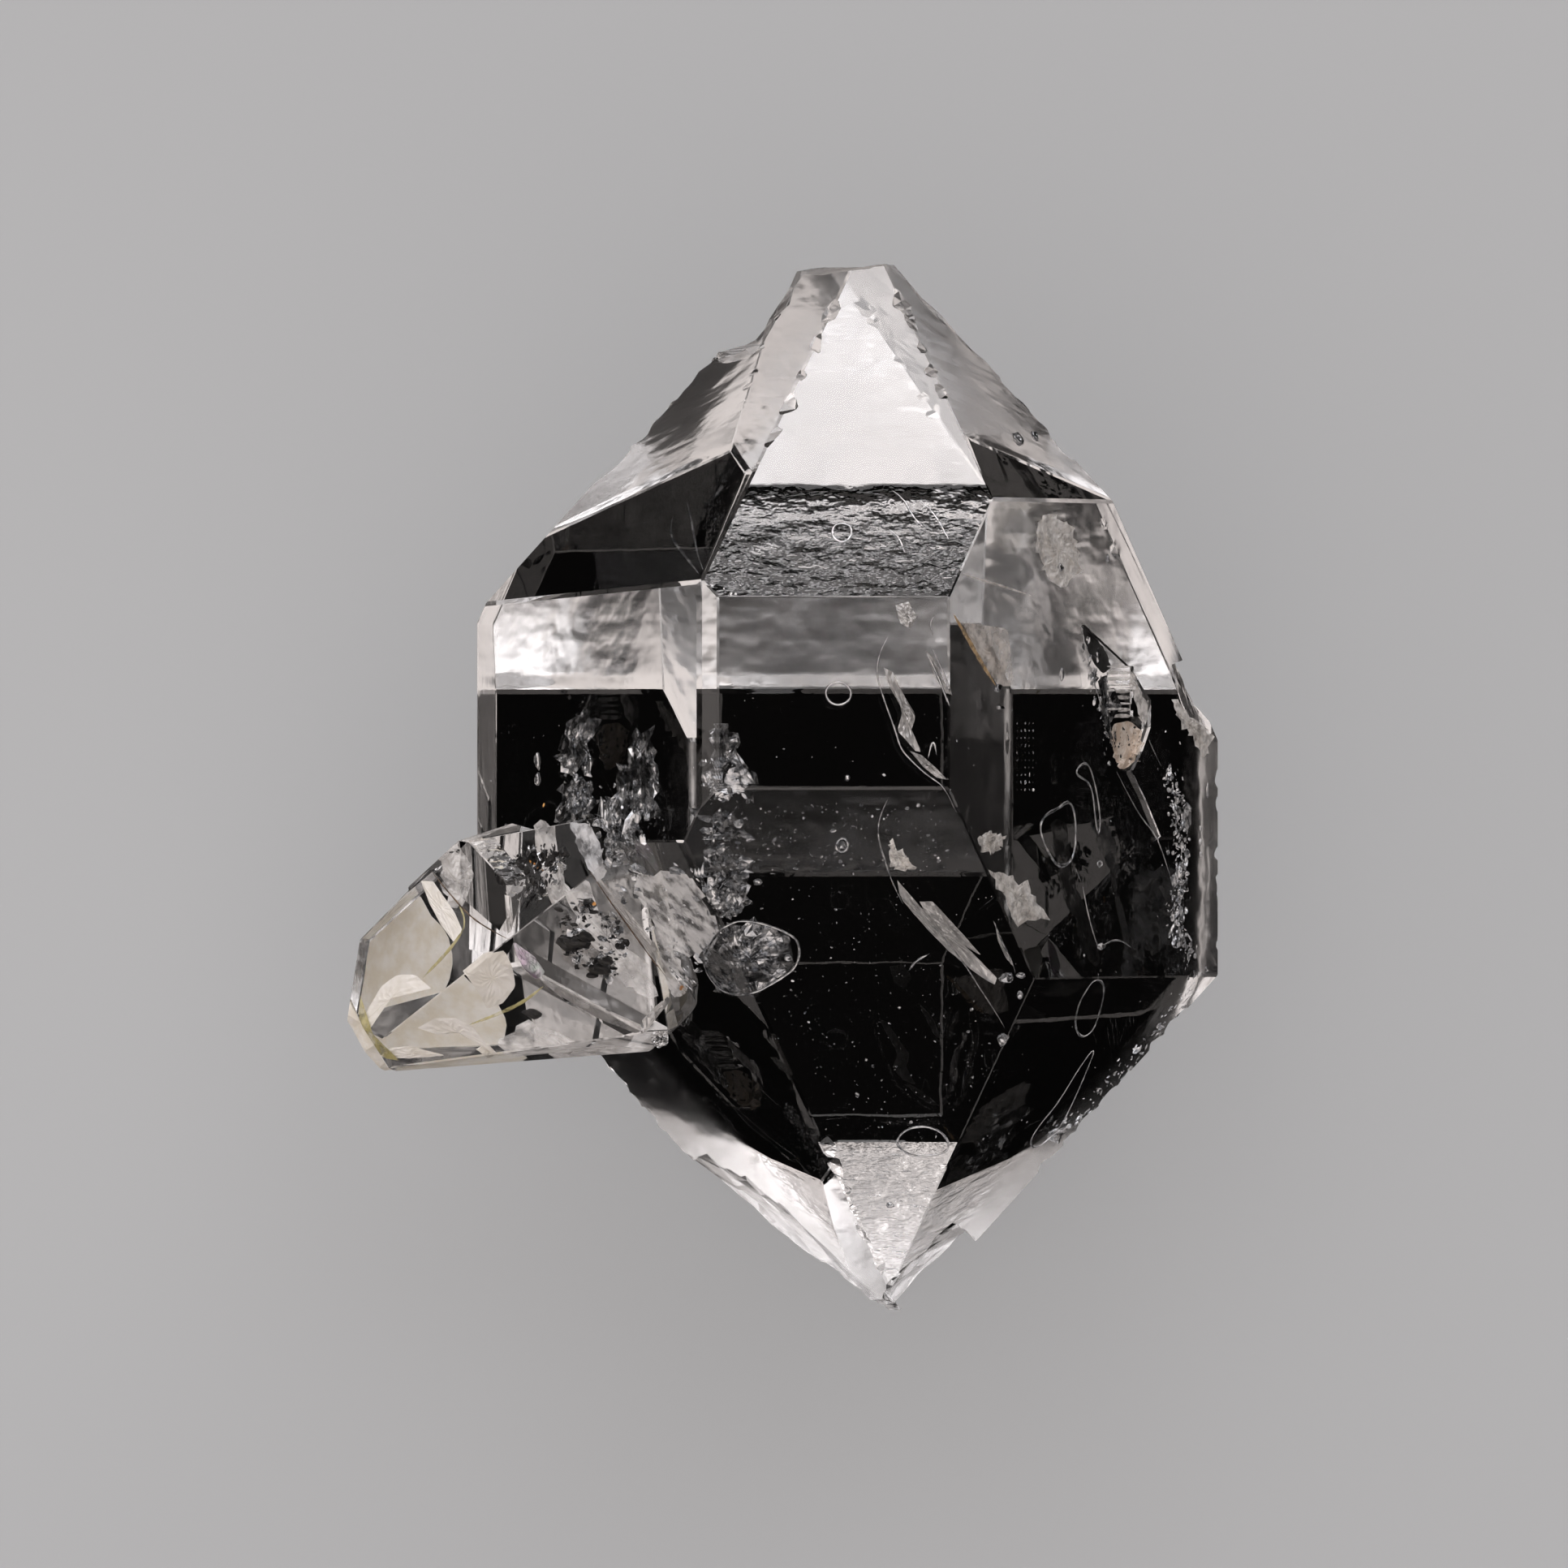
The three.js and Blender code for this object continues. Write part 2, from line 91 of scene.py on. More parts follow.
class Nodes:
    """Short ways to add and join the nodes of one material, world or node group."""

    def __init__(self, tree):
        self.tree = tree

    def add(self, kind, inputs=(), **settings):
        """Adds a node. Each input is a constant or another node's output."""
        node = self.tree.nodes.new("ShaderNode" + kind)
        for name, value in settings.items():
            setattr(node, name, value)
        for name, value in dict(inputs).items():
            if isinstance(value, bpy.types.NodeSocket):
                self.tree.links.new(value, node.inputs[name])
            else:
                node.inputs[name].default_value = value
        return node

    def math(self, operation, a, b=0.0, c=0.0):
        return self.add("Math", {0: a, 1: b, 2: c}, operation=operation).outputs[0]

    def stretched(self, place, by):
        """A place with its X, Y and Z multiplied."""
        return self.add("VectorMath", {0: place, 1: by}, operation="MULTIPLY").outputs["Vector"]

    def towards(self, direction, aim):
        """The cosine of the angle between a direction and an aim."""
        return self.add("VectorMath", {0: direction, 1: aim}, operation="DOT_PRODUCT").outputs["Value"]

    def step(self, value, low, high, start=0.0, end=1.0):
        """A smooth step from start, where the value is low, to end, where it is high."""
        inputs = {"Value": value, "From Min": low, "From Max": high, "To Min": start, "To Max": end}
        return self.add("MapRange", inputs, interpolation_type="SMOOTHSTEP").outputs["Result"]

    def noise(self, place, scale, detail=2.0, roughness=0.5):
        inputs = {"Vector": place, "Scale": scale, "Detail": detail, "Roughness": roughness}
        return self.add("TexNoise", inputs).outputs["Fac"]

    def grain(self, place, scale, detail, roughness=0.5, low=0.35, high=0.65):
        """The outputs of a grain group: Height and Patches."""
        inputs = {"Place": place, "Scale": scale, "Detail": detail, "Roughness": roughness}
        return self.add("Group", inputs | {"Low": low, "High": high}, node_tree=GRAIN).outputs

    def between(self, mask, least, most):
        """A value that is least where the mask is 0 and most where it is 1."""
        return self.math("MULTIPLY_ADD", mask, most - least, least)

    def mix(self, factor, a, b):
        """A colour between a and b. A Mix node's sockets 0, 6 and 7 are its factor and its colours."""
        return self.add("Mix", {0: factor, 6: a, 7: b}, data_type="RGBA").outputs[2]

    def millimetres(self):
        """The place on the specimen."""
        return self.stretched(self.add("TexCoord").outputs["Object"], (1 / MM, 1 / MM, 1 / MM))

    def link(self, value, node, name):
        self.tree.links.new(value, node.inputs[name])

    def raise_surface(self, shader, height, distance=FINE_RELIEF, strength=1.0):
        """Bends a shader's normal as relief of a height times a distance would."""
        bump = self.add("Bump", {"Height": height, "Distance": distance, "Strength": strength})
        self.link(bump.outputs["Normal"], shader, "Normal")


def grain_group():
    """The grain that several looks share: a fractal noise as Height, and its Patches, which are a
    smooth step of that noise from Low to High."""
    group = bpy.data.node_groups.new("grain", "ShaderNodeTree")
    group.interface.new_socket("Place", in_out="INPUT", socket_type="NodeSocketVector")
    for name in ("Scale", "Detail", "Roughness", "Low", "High"):
        group.interface.new_socket(name, in_out="INPUT", socket_type="NodeSocketFloat")
    for name in ("Height", "Patches"):
        group.interface.new_socket(name, in_out="OUTPUT", socket_type="NodeSocketFloat")
    n = Nodes(group)
    given = group.nodes.new("NodeGroupInput").outputs
    result = group.nodes.new("NodeGroupOutput")
    height = n.noise(given["Place"], given["Scale"], given["Detail"], given["Roughness"])
    n.link(height, result, "Height")
    n.link(n.step(height, given["Low"], given["High"]), result, "Patches")
    return group


GRAIN = grain_group()


def material(name):
    """A new material with its nodes, and its shader."""
    look = bpy.data.materials.new(name)
    look.use_nodes = True
    return look, Nodes(look.node_tree), look.node_tree.nodes["Principled BSDF"]


# Camera, floor and light

def look_down():
    """Straight down on the specimen, from far enough away to be nearly without perspective: the width
    to be seen, times the lens's length, over the sensor's width."""
    camera = bpy.data.cameras.new("camera")
    camera.lens = LENS_LENGTH
    camera.sensor_width = SENSOR_WIDTH
    camera.clip_start = NEAREST_SEEN
    holder = bpy.data.objects.new("camera", camera)
    distance = PHOTO_WIDTH * camera.lens / camera.sensor_width
    holder.location = (0, 0, MIDDLE_HEIGHT + distance)
    bpy.context.scene.collection.objects.link(holder)
    bpy.context.scene.camera = holder


def floor():
    """One plain sheet, pale to the camera. Through the quartz and in its faces it is nearly black, as
    the ground of the photograph is."""
    half = FLOOR_HALF
    mesh = bpy.data.meshes.new("floor")
    corners = np.array([(-half, -half, 0), (half, -half, 0), (half, half, 0), (-half, half, 0)])
    mesh.from_pydata(corners.tolist(), [], [(0, 1, 2, 3)])
    piece = bpy.data.objects.new("floor", mesh)
    piece.location = (0, 0, -FLOOR_DROP)
    bpy.context.scene.collection.objects.link(piece)
    look, n, shader = material("pale floor")
    ray = n.add("LightPath")
    # Painted shade: to every ray after the first bounce, as in the quartz's reflections and through it,
    # the floor is nearly black
    later = n.math("GREATER_THAN", ray.outputs["Ray Depth"], 0.5)
    painted_shade_rays = n.math("MAXIMUM", ray.outputs["Is Glossy Ray"], later)
    n.link(n.mix(painted_shade_rays, PALE_FLOOR, PAINTED_SHADE_FLOOR), shader, "Base Color")
    socket(shader, "Roughness", 0.9)
    socket(shader, "Specular IOR Level", 0.0)
    mesh.materials.append(look)


def studio():
    """A white tent, brightest on its far side and dark low down on its right side and in front. It
    has a small hole for the lens, a dark flag beyond the hole and a soft lamp low down beyond the
    specimen. Its far side is cooler than the rest."""
    world = bpy.data.worlds.new("white tent")
    world.use_nodes = True
    n = Nodes(world.node_tree)
    direction = n.add("TexCoord").outputs["Generated"]
    aim = n.add("SeparateXYZ", {0: direction})
    light = n.step(aim.outputs["Y"], 0.35, 0.75, TENT_LIGHT, FAR_LIGHT)
    in_front = n.step(aim.outputs["Y"], -0.97, -0.85)
    right = n.math("MULTIPLY_ADD", n.step(aim.outputs["X"], 0.45, 0.75), -RIGHT_LOSS, 1.0)
    hole = n.step(n.towards(direction, LENS_HOLE), 0.9965, 0.9945)
    flag = n.step(n.towards(direction, DARK_FLAG), 0.993, 0.985)
    for shade in (in_front, right, hole, flag):
        light = n.math("MULTIPLY", light, shade)
    lamp = n.step(n.towards(direction, FAR_LAMP), 0.986, 0.996)
    light = n.math("MULTIPLY_ADD", lamp, FAR_LAMP_LIGHT, light)
    cool = n.step(aim.outputs["Y"], 0.3, 0.8)
    sky = world.node_tree.nodes["Background"]
    n.link(n.mix(cool, (1, 0.91, 0.87, 1), (1, 0.965, 0.975, 1)), sky, "Color")
    n.link(n.math("ADD", light, LEAST_LIGHT), sky, "Strength")
    bpy.context.scene.world = world


# Looks

def clear_quartz():
    """Clear quartz. The faces in front and the resting face are nearly smooth. The others have low
    growth hillocks and are a little dull, which breaks up what they reflect. The lower part of the
    front upper pyramid face is clouded by finer relief, and both broken ends are frosted. Light on
    its way to a matt surface passes nearly straight through, so what is sealed in the quartz is lit."""
    look, n, shader = material("clear quartz")
    socket(shader, "Base Color", (1, 1, 1, 1))
    socket(shader, "IOR", QUARTZ_IOR)
    socket(shader, "Transmission Weight", 1.0)
    place = n.millimetres()
    axes = n.add("SeparateXYZ", {0: place})
    behind = n.step(axes.outputs["Z"], *HIDDEN_FACES)
    hidden = n.math("MULTIPLY", behind, n.step(axes.outputs["Z"], *OFF_THE_FLOOR))
    facing = n.step(n.towards(n.add("TexCoord").outputs["Normal"], FRONT_UPPER), 0.97, 0.99)
    clouded = n.math("MULTIPLY", facing, n.step(axes.outputs["Y"], *CLOUDED_PART))
    n.raise_surface(shader, quartz_relief(n, place, hidden, clouded), 1 * MM)
    low_end = n.math("MULTIPLY", n.step(axes.outputs["Y"], *LOW_BREAK), behind)
    frost = n.math("MAXIMUM", low_end, n.step(axes.outputs["Y"], *HIGH_BREAK))
    rough = n.math("ADD", n.math("MULTIPLY", frost, 0.14), n.math("MULTIPLY", hidden, 0.12))
    n.link(n.math("MULTIPLY_ADD", clouded, 0.1, rough), shader, "Roughness")
    ray = n.add("LightPath")
    lighting = n.math("MAXIMUM", ray.outputs["Is Shadow Ray"], ray.outputs["Is Diffuse Ray"])
    passed = n.step(ray.outputs["Ray Depth"], 1.2, 1.8, FLOOR_PASS, INNER_PASS)
    let_through = n.add("MixShader", {
        0: n.math("MULTIPLY", lighting, passed),
        1: shader.outputs["BSDF"],
        2: n.add("BsdfTransparent").outputs[0],
    })
    n.link(let_through.outputs[0], look.node_tree.nodes["Material Output"], "Surface")
    return look


def quartz_relief(n, place, hidden, clouded):
    """Heights in millimetres: hillocks plus low bands, at full height on the hidden faces and 3 %
    of it on the others, plus a finer marbling where the front upper pyramid face is clouded."""
    hillocks = n.noise(place, 0.8, 2.5, 0.5)
    bands = n.noise(n.stretched(place, (0.5, 2.5, 0.5)), 1.2, 1.5)
    height = n.math("ADD", n.math("MULTIPLY", hillocks, 0.036), n.math("MULTIPLY", bands, 0.008))
    height = n.math("MULTIPLY", height, n.between(hidden, 0.03, 1.0))
    marbling = n.noise(n.stretched(place, (0.8, 1.3, 1)), 2.0, 3, 0.55)
    return n.math("MULTIPLY_ADD", n.math("MULTIPLY", marbling, clouded), 0.13, height)


def silver(name, level, roughness, holes=False):
    """A healed crack's thin film of gas, which mirrors the light as silver does."""
    look, n, shader = material(name)
    place = n.millimetres()
    patches = n.grain(place, 6, 4)["Patches"]
    n.link(n.mix(patches, (0.55 * level, 0.57 * level, 0.6 * level, 1), (level, level, level, 1)),
           shader, "Base Color")
    socket(shader, "Metallic", 1.0)
    if holes:
        left = n.grain(place, 2.6, 4, low=0.44, high=0.53)["Patches"]
        n.link(n.between(left, HOLE_ALPHA, 1.0), shader, "Alpha")
    n.link(n.math("MULTIPLY_ADD", patches, 0.15, roughness), shader, "Roughness")
    n.raise_surface(shader, n.grain(place, 5, 2)["Height"])
    return look


def satin(name, clear, dark=(0.8, 0.79, 0.78, 1), pale=(1, 0.99, 0.98, 1)):
    """A crack's thin film that is finely rippled, so that it shines softly. It is clear in patches."""
    look, n, shader = material(name)
    place = n.millimetres()
    socket(shader, "Metallic", 1.0)
    ripples = n.grain(n.stretched(place, (6, 1.5, 1)), 2.2, 3)["Height"]
    n.link(n.mix(n.grain(place, 3, 3)["Height"], dark, pale), shader, "Base Color")
    n.link(n.math("MULTIPLY_ADD", ripples, 0.3, 0.25), shader, "Roughness")
    patches = n.grain(place, 1.8, 4, high=0.62)["Patches"]
    n.link(n.between(patches, clear, 1.0), shader, "Alpha")
    n.raise_surface(shader, ripples)
    return look


def stony(name, dark, pale, scale, roughness, alpha=1.0, clear=0.3):
    """A mineral of two mixed tones. One that isn't solid is clear in patches, down to a share of its
    alpha."""
    look, n, shader = material(name)
    place = n.millimetres()
    grain = n.grain(place, scale, 5, 0.6)
    n.link(n.mix(grain["Patches"], (*dark, 1), (*pale, 1)), shader, "Base Color")
    socket(shader, "Roughness", roughness)
    if alpha < 1:
        patches = n.grain(place, scale * 1.7, 3, high=0.62)["Patches"]
        n.link(n.between(patches, clear * alpha, alpha), shader, "Alpha")
    n.raise_surface(shader, grain["Height"], strength=0.6)
    return look


def cream_dolomite():
    """Fine-grained cream dolomite, which light shines through a little."""
    look, n, shader = material("cream dolomite")
    place = n.millimetres()
    patches = n.grain(place, 2.2, 5, 0.6)["Patches"]
    n.link(n.mix(patches, (0.84, 0.79, 0.68, 1), (0.95, 0.93, 0.88, 1)), shader, "Base Color")
    socket(shader, "Roughness", 0.6)
    socket(shader, "Subsurface Weight", 0.15)
    socket(shader, "Subsurface Radius", (1.0, 0.9, 0.7))
    socket(shader, "Subsurface Scale", 0.0002)
    n.raise_surface(shader, n.grain(place, 12, 3)["Height"], strength=0.5)
    return look


# Shapes, all in millimetres

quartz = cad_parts["quartz_crystal"]
corners = np.array([quartz.matrix_world @ vertex.co for vertex in quartz.data.vertices]) / MM
skin = BVHTree.FromPolygons(corners.tolist(), [tuple(face.vertices) for face in quartz.data.polygons])


def upper_side(x, y):
    """Where a ray straight down meets the quartz, or None."""
    return skin.ray_cast(Vector((x, y, FAR_OFF)), DOWN)[0]


def under(x, y, depth):
    """Heights that lie a depth below the quartz's upper side, seen from above. Where there is no
    quartz, that side counts as level with the lowest place that was found."""
    hits = [upper_side(px, py) for px, py in zip(np.ravel(x), np.ravel(y))]
    heights = np.array([np.nan if hit is None else hit.z for hit in hits])
    heights[np.isnan(heights)] = NO_SIDE if np.all(np.isnan(heights)) else np.nanmin(heights)
    return heights.reshape(np.shape(x)) - depth


def kept_inside(points):
    """Moves points that stand out of the quartz to just below its nearest side. The others are held
    between its upper and its lower side by their height alone, half way where it is too thin."""
    kept = np.array(points, float)
    for point in kept:
        upper = upper_side(point[0], point[1])
        lower = skin.ray_cast(Vector((point[0], point[1], -FAR_OFF)), UP)[0]
        if upper is None or lower is None:
            near, normal, _, _ = skin.find_nearest(Vector(point))
            point[:] = near - normal * SKIN_GAP
        elif upper.z - lower.z < 2 * SKIN_GAP:
            point[2] = 0.5 * (upper.z + lower.z)
        else:
            point[2] = min(max(point[2], lower.z + SKIN_GAP), upper.z - SKIN_GAP)
    return kept


def over_quartz(places):
    """Which places have quartz below them."""
    return np.array([upper_side(x, y) is not None for x, y in places])


def distances_along(path):
    """How far each of a path's points is from its start, along the path."""
    return np.concatenate([[0], np.cumsum(np.linalg.norm(np.diff(path, axis=0), axis=1))])


def places_at(distances, path):
    """The places at given distances along a path, on straight lines between its points."""
    length = distances_along(path)
    return np.stack([np.interp(distances, length, path[:, axis]) for axis in (0, 1)], axis=1)


def rounded_outline(outline, around, wobble, rng):
    """Points at even steps along a closed outline, each moved a little at random."""
    outline = np.array(outline, float)
    loop = np.vstack([outline, outline[:1]])
    points = places_at(np.linspace(0, distances_along(loop)[-1], around, endpoint=False), loop)
    return points + rng.normal(0, wobble, points.shape)


def plate(outline, depth, seed, thickness=0.02, crumple=0.02, around=30, rings=6, wobble=0.0, level=None):
    """A closed lens over an outline. Rings run from the rim in to the middle on its upper and on its
    lower side. Its half thickness is that at the middle times the root of one less the square of the
    distance from the middle, as a share of the way out. Both sides are crumpled alike by a sum of
    waves, and follow the quartz's upper side at a depth, or lie at a level of their own."""
    rng = np.random.default_rng(seed)
    rim = rounded_outline(outline, around, wobble, rng)
    middle = rim.mean(axis=0)
    share = np.linspace(1, 0, rings + 1)[:-1]
    flat = middle + share[:, None, None] * (rim - middle)
    half = 0.5 * thickness * np.sqrt(1 - share ** 2)[:, None]
    waves = rng.normal(0, 1, (PLATE_WAVES, 2)) / max(np.ptp(rim), 0.01) * WAVE_TURNS
    turns = rng.uniform(0, 6.28, PLATE_WAVES)
    everywhere = np.vstack([flat.reshape(-1, 2), middle])
    crumpled = crumple / 2.4 * np.sin(everywhere @ waves.T + turns).sum(axis=1)
    crumpled += 0.5 * crumple * rng.normal(0, 1, len(crumpled))
    upper = under(everywhere[:, 0], everywhere[:, 1], 0)
    level = (upper - depth if level is None else level) + crumpled
    level = np.minimum(level, upper - PLATE_COVER - 0.5 * thickness)
    grid = level[:-1].reshape(rings, around)
    top = np.dstack([flat, grid + half])
    low = np.dstack([flat, grid - half])[1:]
    poles = [[*middle, level[-1] + 0.5 * thickness], [*middle, level[-1] - 0.5 * thickness]]
    points = np.vstack([top.reshape(-1, 3), low.reshape(-1, 3), poles])
    quads, fans = lens_faces(around, rings)
    anticlockwise = np.sum(rim[:, 0] * np.roll(rim[:, 1], -1) - rim[:, 1] * np.roll(rim[:, 0], -1)) > 0
    if not anticlockwise:
        quads, fans = quads[:, ::-1], fans[:, ::-1]
    return points, quads.tolist() + fans.tolist()


def lens_faces(around, rings):
    """The faces of a lens whose points are its upper rings from the rim in, its lower rings without
    the rim, the upper pole and the lower pole: four-sided ones between rings, three-sided ones round
    each pole."""
    start_low = rings * around
    here, after = np.arange(around), (np.arange(around) + 1) % around
    faces = []
    for ring in range(rings - 1):
        a, b = ring * around, (ring + 1) * around
        faces.append(np.stack([a + here, a + after, b + after, b + here], axis=1))
        low_a = a if ring == 0 else start_low + (ring - 1) * around
        low_b = start_low + ring * around
        faces.append(np.stack([low_a + here, low_b + here, low_b + after, low_a + after], axis=1))
    last_top, last_low = (rings - 1) * around, start_low + (rings - 2) * around
    pole = start_low + (rings - 1) * around
    fans = np.vstack([
        np.stack([last_top + here, last_top + after, np.full(around, pole)], axis=1),
        np.stack([last_low + after, last_low + here, np.full(around, pole + 1)], axis=1),
    ])
    return np.vstack(faces), fans


def strand(path, depth, width, thickness, taper=0.6, closed=False):
    """A band along a path: an ellipse is carried along it, square to the path, as wide as the band
    and as high as its thickness. Two sines make it thicker and thinner in turn. At an open path's
    ends it shrinks with a power of the distance from the end, and closes in a point. A closed path's
    last ring joins its first."""
    path = softened(np.array(path, float), closed)
    if closed:
        path = np.vstack([path, path[:1]])
    whole = distances_along(path)[-1]
    rings = max(8, int(whole / STRAND_STEP))
    middle = places_at(np.linspace(0, whole, rings, endpoint=not closed), path)
    if closed:
        smooth = (np.roll(middle, 1, 0) + 2 * middle + np.roll(middle, -1, 0)) / 4
        heading = np.roll(smooth, -1, 0) - np.roll(smooth, 1, 0)
    else:
        smooth = middle.copy()
        smooth[1:-1] = (middle[:-2] + 2 * middle[1:-1] + middle[2:]) / 4
        heading = np.gradient(smooth, axis=0)
    heading /= np.linalg.norm(heading, axis=1)[:, None] + 1e-9
    side = np.stack([-heading[:, 1], heading[:, 0]], axis=1)
    share = np.linspace(0, 1, rings)
    swell = np.ones(rings) if closed else np.maximum(4 * share * (1 - share), 0.02) ** taper
    beads = round(whole / BEAD + 1)
    beat = 5 * path[0, 0] + np.linspace(0, 2 * np.pi * beads, rings, endpoint=not closed)
    swell = swell * (1 + 0.12 * np.sin(beat) + 0.1 * np.sin(2 * beat + 1))
    turn = np.arange(STRAND_SIDES) * 2 * np.pi / STRAND_SIDES
    level = under(smooth[:, 0], smooth[:, 1], depth)
    offset = 0.5 * width * swell[:, None] * np.cos(turn)
    rise = 0.5 * thickness * swell[:, None] * np.sin(turn)
    points = np.dstack([
        smooth[:, 0, None] + side[:, 0, None] * offset,
        smooth[:, 1, None] + side[:, 1, None] * offset,
        level[:, None] + rise,
    ]).reshape(-1, 3)
    if not closed:
        points = np.vstack([points, points[:STRAND_SIDES].mean(0), points[-STRAND_SIDES:].mean(0)])
    return points, strand_faces(rings, closed)


def strand_faces(rings, closed):
    """The faces of a strand: four-sided ones between rings, and three-sided ones to the two end
    points of an open strand, which follow its rings."""
    here, after = np.arange(STRAND_SIDES), (np.arange(STRAND_SIDES) + 1) % STRAND_SIDES
    faces = []
    for ring in range(rings if closed else rings - 1):
        a, b = ring * STRAND_SIDES, (ring + 1) % rings * STRAND_SIDES
        faces += np.stack([a + here, b + here, b + after, a + after], axis=1).tolist()
    if not closed:
        first, end = rings * STRAND_SIDES, (rings - 1) * STRAND_SIDES
        faces += [[first, i, j] for i, j in zip(here.tolist(), after.tolist())]
        faces += [[first + 1, end + j, end + i] for i, j in zip(here.tolist(), after.tolist())]
    return faces


def softened(path, closed):
    """Cuts a path's corners twice: each stretch keeps its points at one and three quarters."""
    for _ in range(2):
        after = np.roll(path, -1, axis=0) if closed else path[1:]
        before = path if closed else path[:-1]
        cut = np.stack([0.75 * before + 0.25 * after, 0.25 * before + 0.75 * after], axis=1)
        cut = cut.reshape(-1, 2)
        path = cut if closed else np.vstack([path[:1], cut, path[-1:]])
    return path


def ball(around, rings):
    """A unit ball of rings between two poles, by the sine and cosine of the angle from its pole and
    of the turn round it: its points and faces."""
    down = np.pi * np.arange(1, rings) / rings
    turn = 2 * np.pi * np.arange(around) / around
    grid = np.dstack([
        np.sin(down)[:, None] * np.cos(turn), np.sin(down)[:, None] * np.sin(turn),
        np.cos(down)[:, None] + 0 * turn,
    ]).reshape(-1, 3)
    points = np.vstack([grid, [0, 0, 1], [0, 0, -1]])
    faces = []
    for ring in range(rings - 2):
        for i in range(around):
            j = (i + 1) % around
            a, b = ring * around, (ring + 1) * around
            faces.append([a + i, b + i, b + j, a + j])
    last = (rings - 2) * around
    faces += [[len(grid), i, (i + 1) % around] for i in range(around)]
    faces += [[len(grid) + 1, last + (i + 1) % around, last + i] for i in range(around)]
    return points, faces


def lump(at, radii, rough, seed):
    """A rough lump: a ball pressed to three radii, with its surface raised and sunk by waves."""
    rng = np.random.default_rng(seed)
    points, faces = ball(around=14, rings=9)
    waves = rng.normal(0, 2.2, (5, 3))
    height = 1 + rough / 2 * np.sin(points @ waves.T + rng.uniform(0, 6, 5)).sum(axis=1)
    points = points * height[:, None] * np.array(radii)
    middle = under(np.array([at[0]]), np.array([at[1]]), LUMP_DEPTH)[0] - radii[2]
    return points + np.array([at[0], at[1], middle]), faces


def flakes(places, size, depths, seed, spread=0.5, thin=0.15, lean=0.8):
    """Many small thin chips: a ball of few faces is pressed flat, turned, tilted and set down at each
    place. Sizes vary by the spread, and depths between the two given."""
    rng = np.random.default_rng(seed)
    unit, faces = ball(around=6, rings=3)
    places = np.array(places, float)
    places = places[over_quartz(places)]
    count = len(places)
    shape = size * np.exp(rng.normal(0, spread, (count, 1))) * rng.uniform(0.5, 1.4, (count, 2))
    shape = np.column_stack([shape, thin * shape.mean(axis=1)])
    jitter = 1 + rng.normal(0, 0.2, (count, len(unit), 1))
    body = unit[None] * jitter * shape[:, None]
    tilts = rng.normal(0, lean, (2, count))
    body = turned(body, tilts[0], tilts[1], rng.uniform(0, 6.28, count))
    deep = rng.uniform(depths[0], depths[1], count)
    level = under(places[:, 0], places[:, 1], deep) - np.abs(body[:, :, 2]).max(axis=1)
    body += np.column_stack([places, level])[:, None]
    shift = (np.arange(count) * len(unit))[:, None]
    every = []
    for face in faces:
        every += (np.array(face)[None] + shift).tolist()
    return body.reshape(-1, 3), every


def turned(body, about_x, about_y, about_z):
    """Turns each set of points about X, then Y, then Z by its own angles."""
    x, y, z = body[..., 0], body[..., 1], body[..., 2]
    c, s = np.cos(about_x)[:, None], np.sin(about_x)[:, None]
    y, z = c * y - s * z, s * y + c * z
    c, s = np.cos(about_y)[:, None], np.sin(about_y)[:, None]
    x, z = c * x + s * z, c * z - s * x
    c, s = np.cos(about_z)[:, None], np.sin(about_z)[:, None]
    return np.dstack([c * x - s * y, s * x + c * y, z])


def inside(outline, count, seed):
    """Random places within a closed outline. A place is within it when a line from there to the right
    crosses it an odd number of times."""
    rng = np.random.default_rng(seed)
    outline = np.array(outline, float)
    low, high = outline.min(0), outline.max(0)
    kept = np.zeros((0, 2))
    while len(kept) < count:
        tried = rng.uniform(low, high, (count * 3, 2))
        a, b = outline, np.roll(outline, -1, 0)
        crosses = (a[:, 1] > tried[:, 1, None]) != (b[:, 1] > tried[:, 1, None])
        rise = np.where(a[:, 1] == b[:, 1], 1e-9, b[:, 1] - a[:, 1])
        at = a[:, 0] + (tried[:, 1, None] - a[:, 1]) / rise * (b[:, 0] - a[:, 0])
        kept = np.vstack([kept, tried[(crosses & (tried[:, 0, None] < at)).sum(axis=1) % 2 == 1]])
    return kept[:count]


def beside(path, count, width, seed):
    """Random places about a width across along a path, most of them near it."""
    rng = np.random.default_rng(seed)
    path = np.array(path, float)
    places = places_at(rng.uniform(0, distances_along(path)[-1], count), path)
    return places + rng.normal(0, width / 2, (count, 2))


def add_piece(name, parts, look, smooth=False):
    """Joins parts into one mesh, holds it inside the quartz and adds it to the specimen."""
    points, faces, start = [], [], 0
    for part_points, part_faces in parts:
        points.append(part_points)
        faces += [[corner + start for corner in face] for face in part_faces]
        start += len(part_points)
    mesh = bpy.data.meshes.new(name)
    mesh.from_pydata((kept_inside(np.vstack(points)) * MM).tolist(), [], faces)
    mesh.polygons.foreach_set("use_smooth", np.full(len(faces), smooth))
    mesh.materials.append(look)
    piece = bpy.data.objects.new(name, mesh)
    bpy.context.scene.collection.objects.link(piece)
    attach(piece, "root")


# What is sealed in the large crystal. Outlines and paths are in millimetres, seen from above

